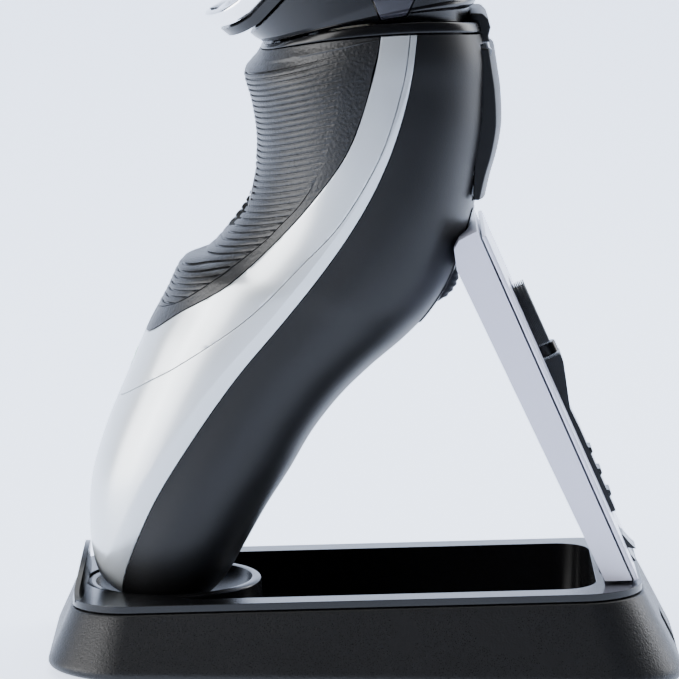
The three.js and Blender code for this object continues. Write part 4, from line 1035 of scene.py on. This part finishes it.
def buildCup():
    steps = [i / 16 * math.pi / 2 for i in range(17)]
    bowl = [(cup["bowl"] * math.cos(a), -7.0 * math.sin(a)) for a in steps]
    bowl[-1] = (0, -7.0)
    profile = [(0, -8.2), (cup["radius"], -8.2), (cup["radius"], -0.7), (cup["radius"] - 0.2, -0.25),
               (cup["radius"] - 0.7, 0), (cup["bowl"] + 0.5, 0), (cup["bowl"] + 0.1, -0.15)] + bowl[1:]
    place = Matrix.Translation((cup["x"], 0, rimAt(cup["x"]) - cup["drop"])) @ Matrix.Rotation(
        -math.atan(stand["rim"][1]), 4, "Y")
    obj = blank("footCup", turned(profile, 96, place))
    carve(obj, [blank("pinHole", rod((cup["x"], y, -5), (cup["x"], y, 16.5), 1.6, 24)) for y in (-4, 4)])
    finished(obj, "satin_black", "stand", ["foot_cup"], sharp=45)


def buildUnderside():
    cover = blank("baseCover", roundedPlate(-65.4, 65.4, 32.9, 14.5, 1.2, 2.8, 10))
    spots = stand["screws"]
    carve(cover, [blank("hole", rod((x, y, 0), (x, y, 4), 1.5, 24)) for x, y in spots])
    carve(cover, [blank("hole", rod((x, y, 0), (x, y, 2.0), 3.0, 32)) for x, y in spots])
    finished(cover, "soft_black", "stand", ["base_cover"], bevel=0.2)
    for i, (x, y) in enumerate(((-52, -24), (-52, 24), (50, -24), (50, 24)), 1):
        pad = turned([(0, 0.9), (5.0, 0.9), (5.0, 0.35), (4.7, 0.05), (4.3, 0), (2.2, 0), (2.0, 0.2),
                      (0, 0.2)], 48, Matrix.Translation((x, y, 0)))
        finished(blank(f"footPad_{i}", pad), "rubber_black", "stand", [f"rubber_foot_{i}"], sharp=50)
    for i, (x, y) in enumerate(spots, 1):
        screw = rod((x, y, 1.3), (x, y, 1.75), 2.6, 40)
        obj = blank(f"coverScrew_{i}", screw)
        carve(obj, [blank("shank", rod((x, y, 1.6), (x, y, 6.0), 1.1, 24))], "UNION")
        carve(obj, [blank("cross", cuboid((x - 1.6, y - 0.3, 1.0), (x + 1.6, y + 0.3, 1.55))),
                    blank("cross", cuboid((x - 0.3, y - 1.6, 1.0), (x + 0.3, y + 1.6, 1.55)))])
        finished(obj, "steel", "stand", [f"base_screw_{i}"], bevel=0.1)


arm = {
    "footFront": (51.6, 21.8), "footBack": (59.0, 22.15), "tipBack": (23.9, 97.7), "tipTop": (22.2, 98.3),
    "noseTop": (18.2, 96.1), "noseFront": (17.2, 94.1), "noseLow": (17.9, 89.6), "half": 20.0, "cover": 1.3,
    "pivot": (54.6, 17.4),
}
brush = {"low": 13.0, "neck": 33.0, "shoulder": 38.0, "ferrule": 50.2, "bristle": 53.0, "tip": 67.4,
         "half": 4.0, "rows": 9, "across": 26}
armFoot, armTip = Vector(arm["footBack"]), Vector(arm["tipBack"])
armLength = (armTip - armFoot).length
armUp = (armTip - armFoot).normalized()
armOut = Vector((armUp.y, -armUp.x))


def onArm(along, out):
    # A side-view point from its distance up the arm's back and out of it.
    spot = armFoot + armUp * along + armOut * out
    return (spot.x, spot.y)


def armBlock(outline, near, far):
    return sideProfile([onArm(a, o) for a, o in outline], near, far)


def buildArm():
    corners = ("footFront", "footBack", "tipBack", "tipTop", "noseTop", "noseFront", "noseLow")
    outline = [arm[corner] for corner in corners]
    obj = blank("supportArm", sideProfile(outline, -arm["half"], arm["half"]))
    seat = armBlock([(-4, -arm["cover"] - 0.1), (-4, 9), (armLength + 9, 9),
                     (armLength + 9, -arm["cover"] - 0.1)], -30, 30)
    hollow = armBlock([(3, -5.2), (3, 2), (armLength - 7, 2), (armLength - 7, -4.6)], -18.4, 18.4)
    carve(obj, [blank("hollow", hollow), blank("seat", seat)])
    px, pz = arm["pivot"]
    tongue = sideProfile([(px - 2.6, pz), (px + 2.6, pz), (px + 2.6, 23), (px - 2.6, 24)], -9, 9)
    carve(obj, [blank("tongue", tongue), blank("eye", rod((px, -9, pz), (px, 9, pz), 2.6, 40))], "UNION")
    carve(obj, [blank("bore", rod((px, -20, pz), (px, 20, pz), 1.5, 24)),
                blank("room", skinTube(0.5, 8, 15, 60, 120))])
    finished(obj, "lilac_grey", "stand", ["support_arm"], bevel=0.55, steps=4)
    skin = armBlock([(0.2, -arm["cover"] + gap), (0.2, 0), (armLength - 0.3, 0),
                     (armLength - 0.3, -arm["cover"] + gap)], -arm["half"], arm["half"])
    cover = blank("armBackCover", skin)
    trough = armBlock([(9.5, -3.1), (9.5, -0.4), (70.5, -0.4), (70.5, -3.1)], -6.6, 6.6)
    carve(cover, [blank("trough", trough)], "UNION")
    carve(cover, [blank("channel", armBlock([(11.5, -1.7), (11.5, 3), (69, 3), (69, -1.7)], -5.2, 5.2)),
                  blank("notch", armBlock([(0.0, -2), (0.0, 3), (8.6, 3), (8.6, -2)], -4.3, 4.3))])
    finished(cover, "lilac_grey", "stand", ["arm_back_cover"], bevel=0.3, steps=3)
    latch = armBlock([(0.8, -1.0), (0.8, 0.6), (2.6, 0.1), (4.2, 0.1), (3.2, 1.7), (4.8, 1.0), (7.2, 0.3),
                      (8.2, -1.0)], -4, 4)
    finished(blank("armLatch", latch), "satin_black", "stand", ["arm_latch"], bevel=0.15)


def buildBrush():
    half = brush["half"]
    body = armBlock([(brush["low"], -1.3), (brush["low"], 1.0), (brush["neck"], 1.1),
                     (brush["shoulder"], 0.9), (44, 2.6), (48, 3.7), (brush["ferrule"] - 0.2, 3.8),
                     (brush["ferrule"] - 0.2, -0.9),
                     (brush["shoulder"], -1.3)], -half, half)
    obj = blank("brushHandle", body)
    ridges = []
    for k in range(3):
        a = brush["low"] + 3 + k * 5.2
        nub = armBlock([(a, 0.6), (a + 0.5, 1.6), (a + 1.6, 1.6), (a + 2.1, 0.6)], -3, 3)
        ridges.append(blank("nub", nub))
    carve(obj, ridges, "UNION")
    finished(obj, "satin_black", "brush", ["brush_handle"], bevel=0.5, steps=3)
    x0, z0 = onArm(brush["ferrule"] + 0.1, 1.35)
    x1, z1 = onArm(brush["bristle"], 1.35)
    ferrule = blank("brushFerrule", rod((x0, 0, z0), (x1, 0, z1), 2.4, 40))
    finished(ferrule, "satin_black", "brush", ["brush_ferrule"], bevel=0.3)
    bm = bmesh.new()
    for i in range(brush["rows"]):
        for j in range(brush["across"]):
            across = (j + 0.5 * (i % 2)) / brush["across"] * 2 - 1
            deep = i / (brush["rows"] - 1) * 2 - 1
            a = onArm(brush["bristle"] + gap, 1.2 + deep * 1.35)
            b = onArm(brush["tip"] - 0.9 * ((i * 7 + j * 5) % 4) / 3, 0.9 + deep * 1.6)
            start, end = Vector((a[0], across * 2.2, a[1])), Vector((b[0], across * 4.3, b[1]))
            turn = (end - start).to_track_quat("Z", "Y").to_matrix().to_4x4()
            place = Matrix.Translation((start + end) / 2) @ turn
            bmesh.ops.create_cone(bm, cap_ends=True, segments=5, radius1=0.15, radius2=0.09,
                                  depth=(end - start).length, matrix=place)
    finished(blank("brushBristles", bm), "nylon", "brush", ["brush_bristles"], material=bristleFinish)


buildCamera()
buildStudio()
print("studio ready")
buildGrip()
print("grip ready")
buildCovers()
buildCollar()
print("covers ready")
buildTrimmer()
buildFrontTrim()
print("trimmer and button ready")
buildChamber()
buildHead()
print("head ready")
buildBase()
buildTray()
buildLip()
buildCup()
buildUnderside()
print("stand ready")
buildArm()
buildBrush()
print("arm and brush ready")

slotOf = {part["node"]: part["material_slot"] for part in frame["record"]["subparts"]}
for name, node in frame["nodes"].items():
    for place in node.material_slots:
        place.material = finishes[slotOf[name]]
print("inner parts painted")
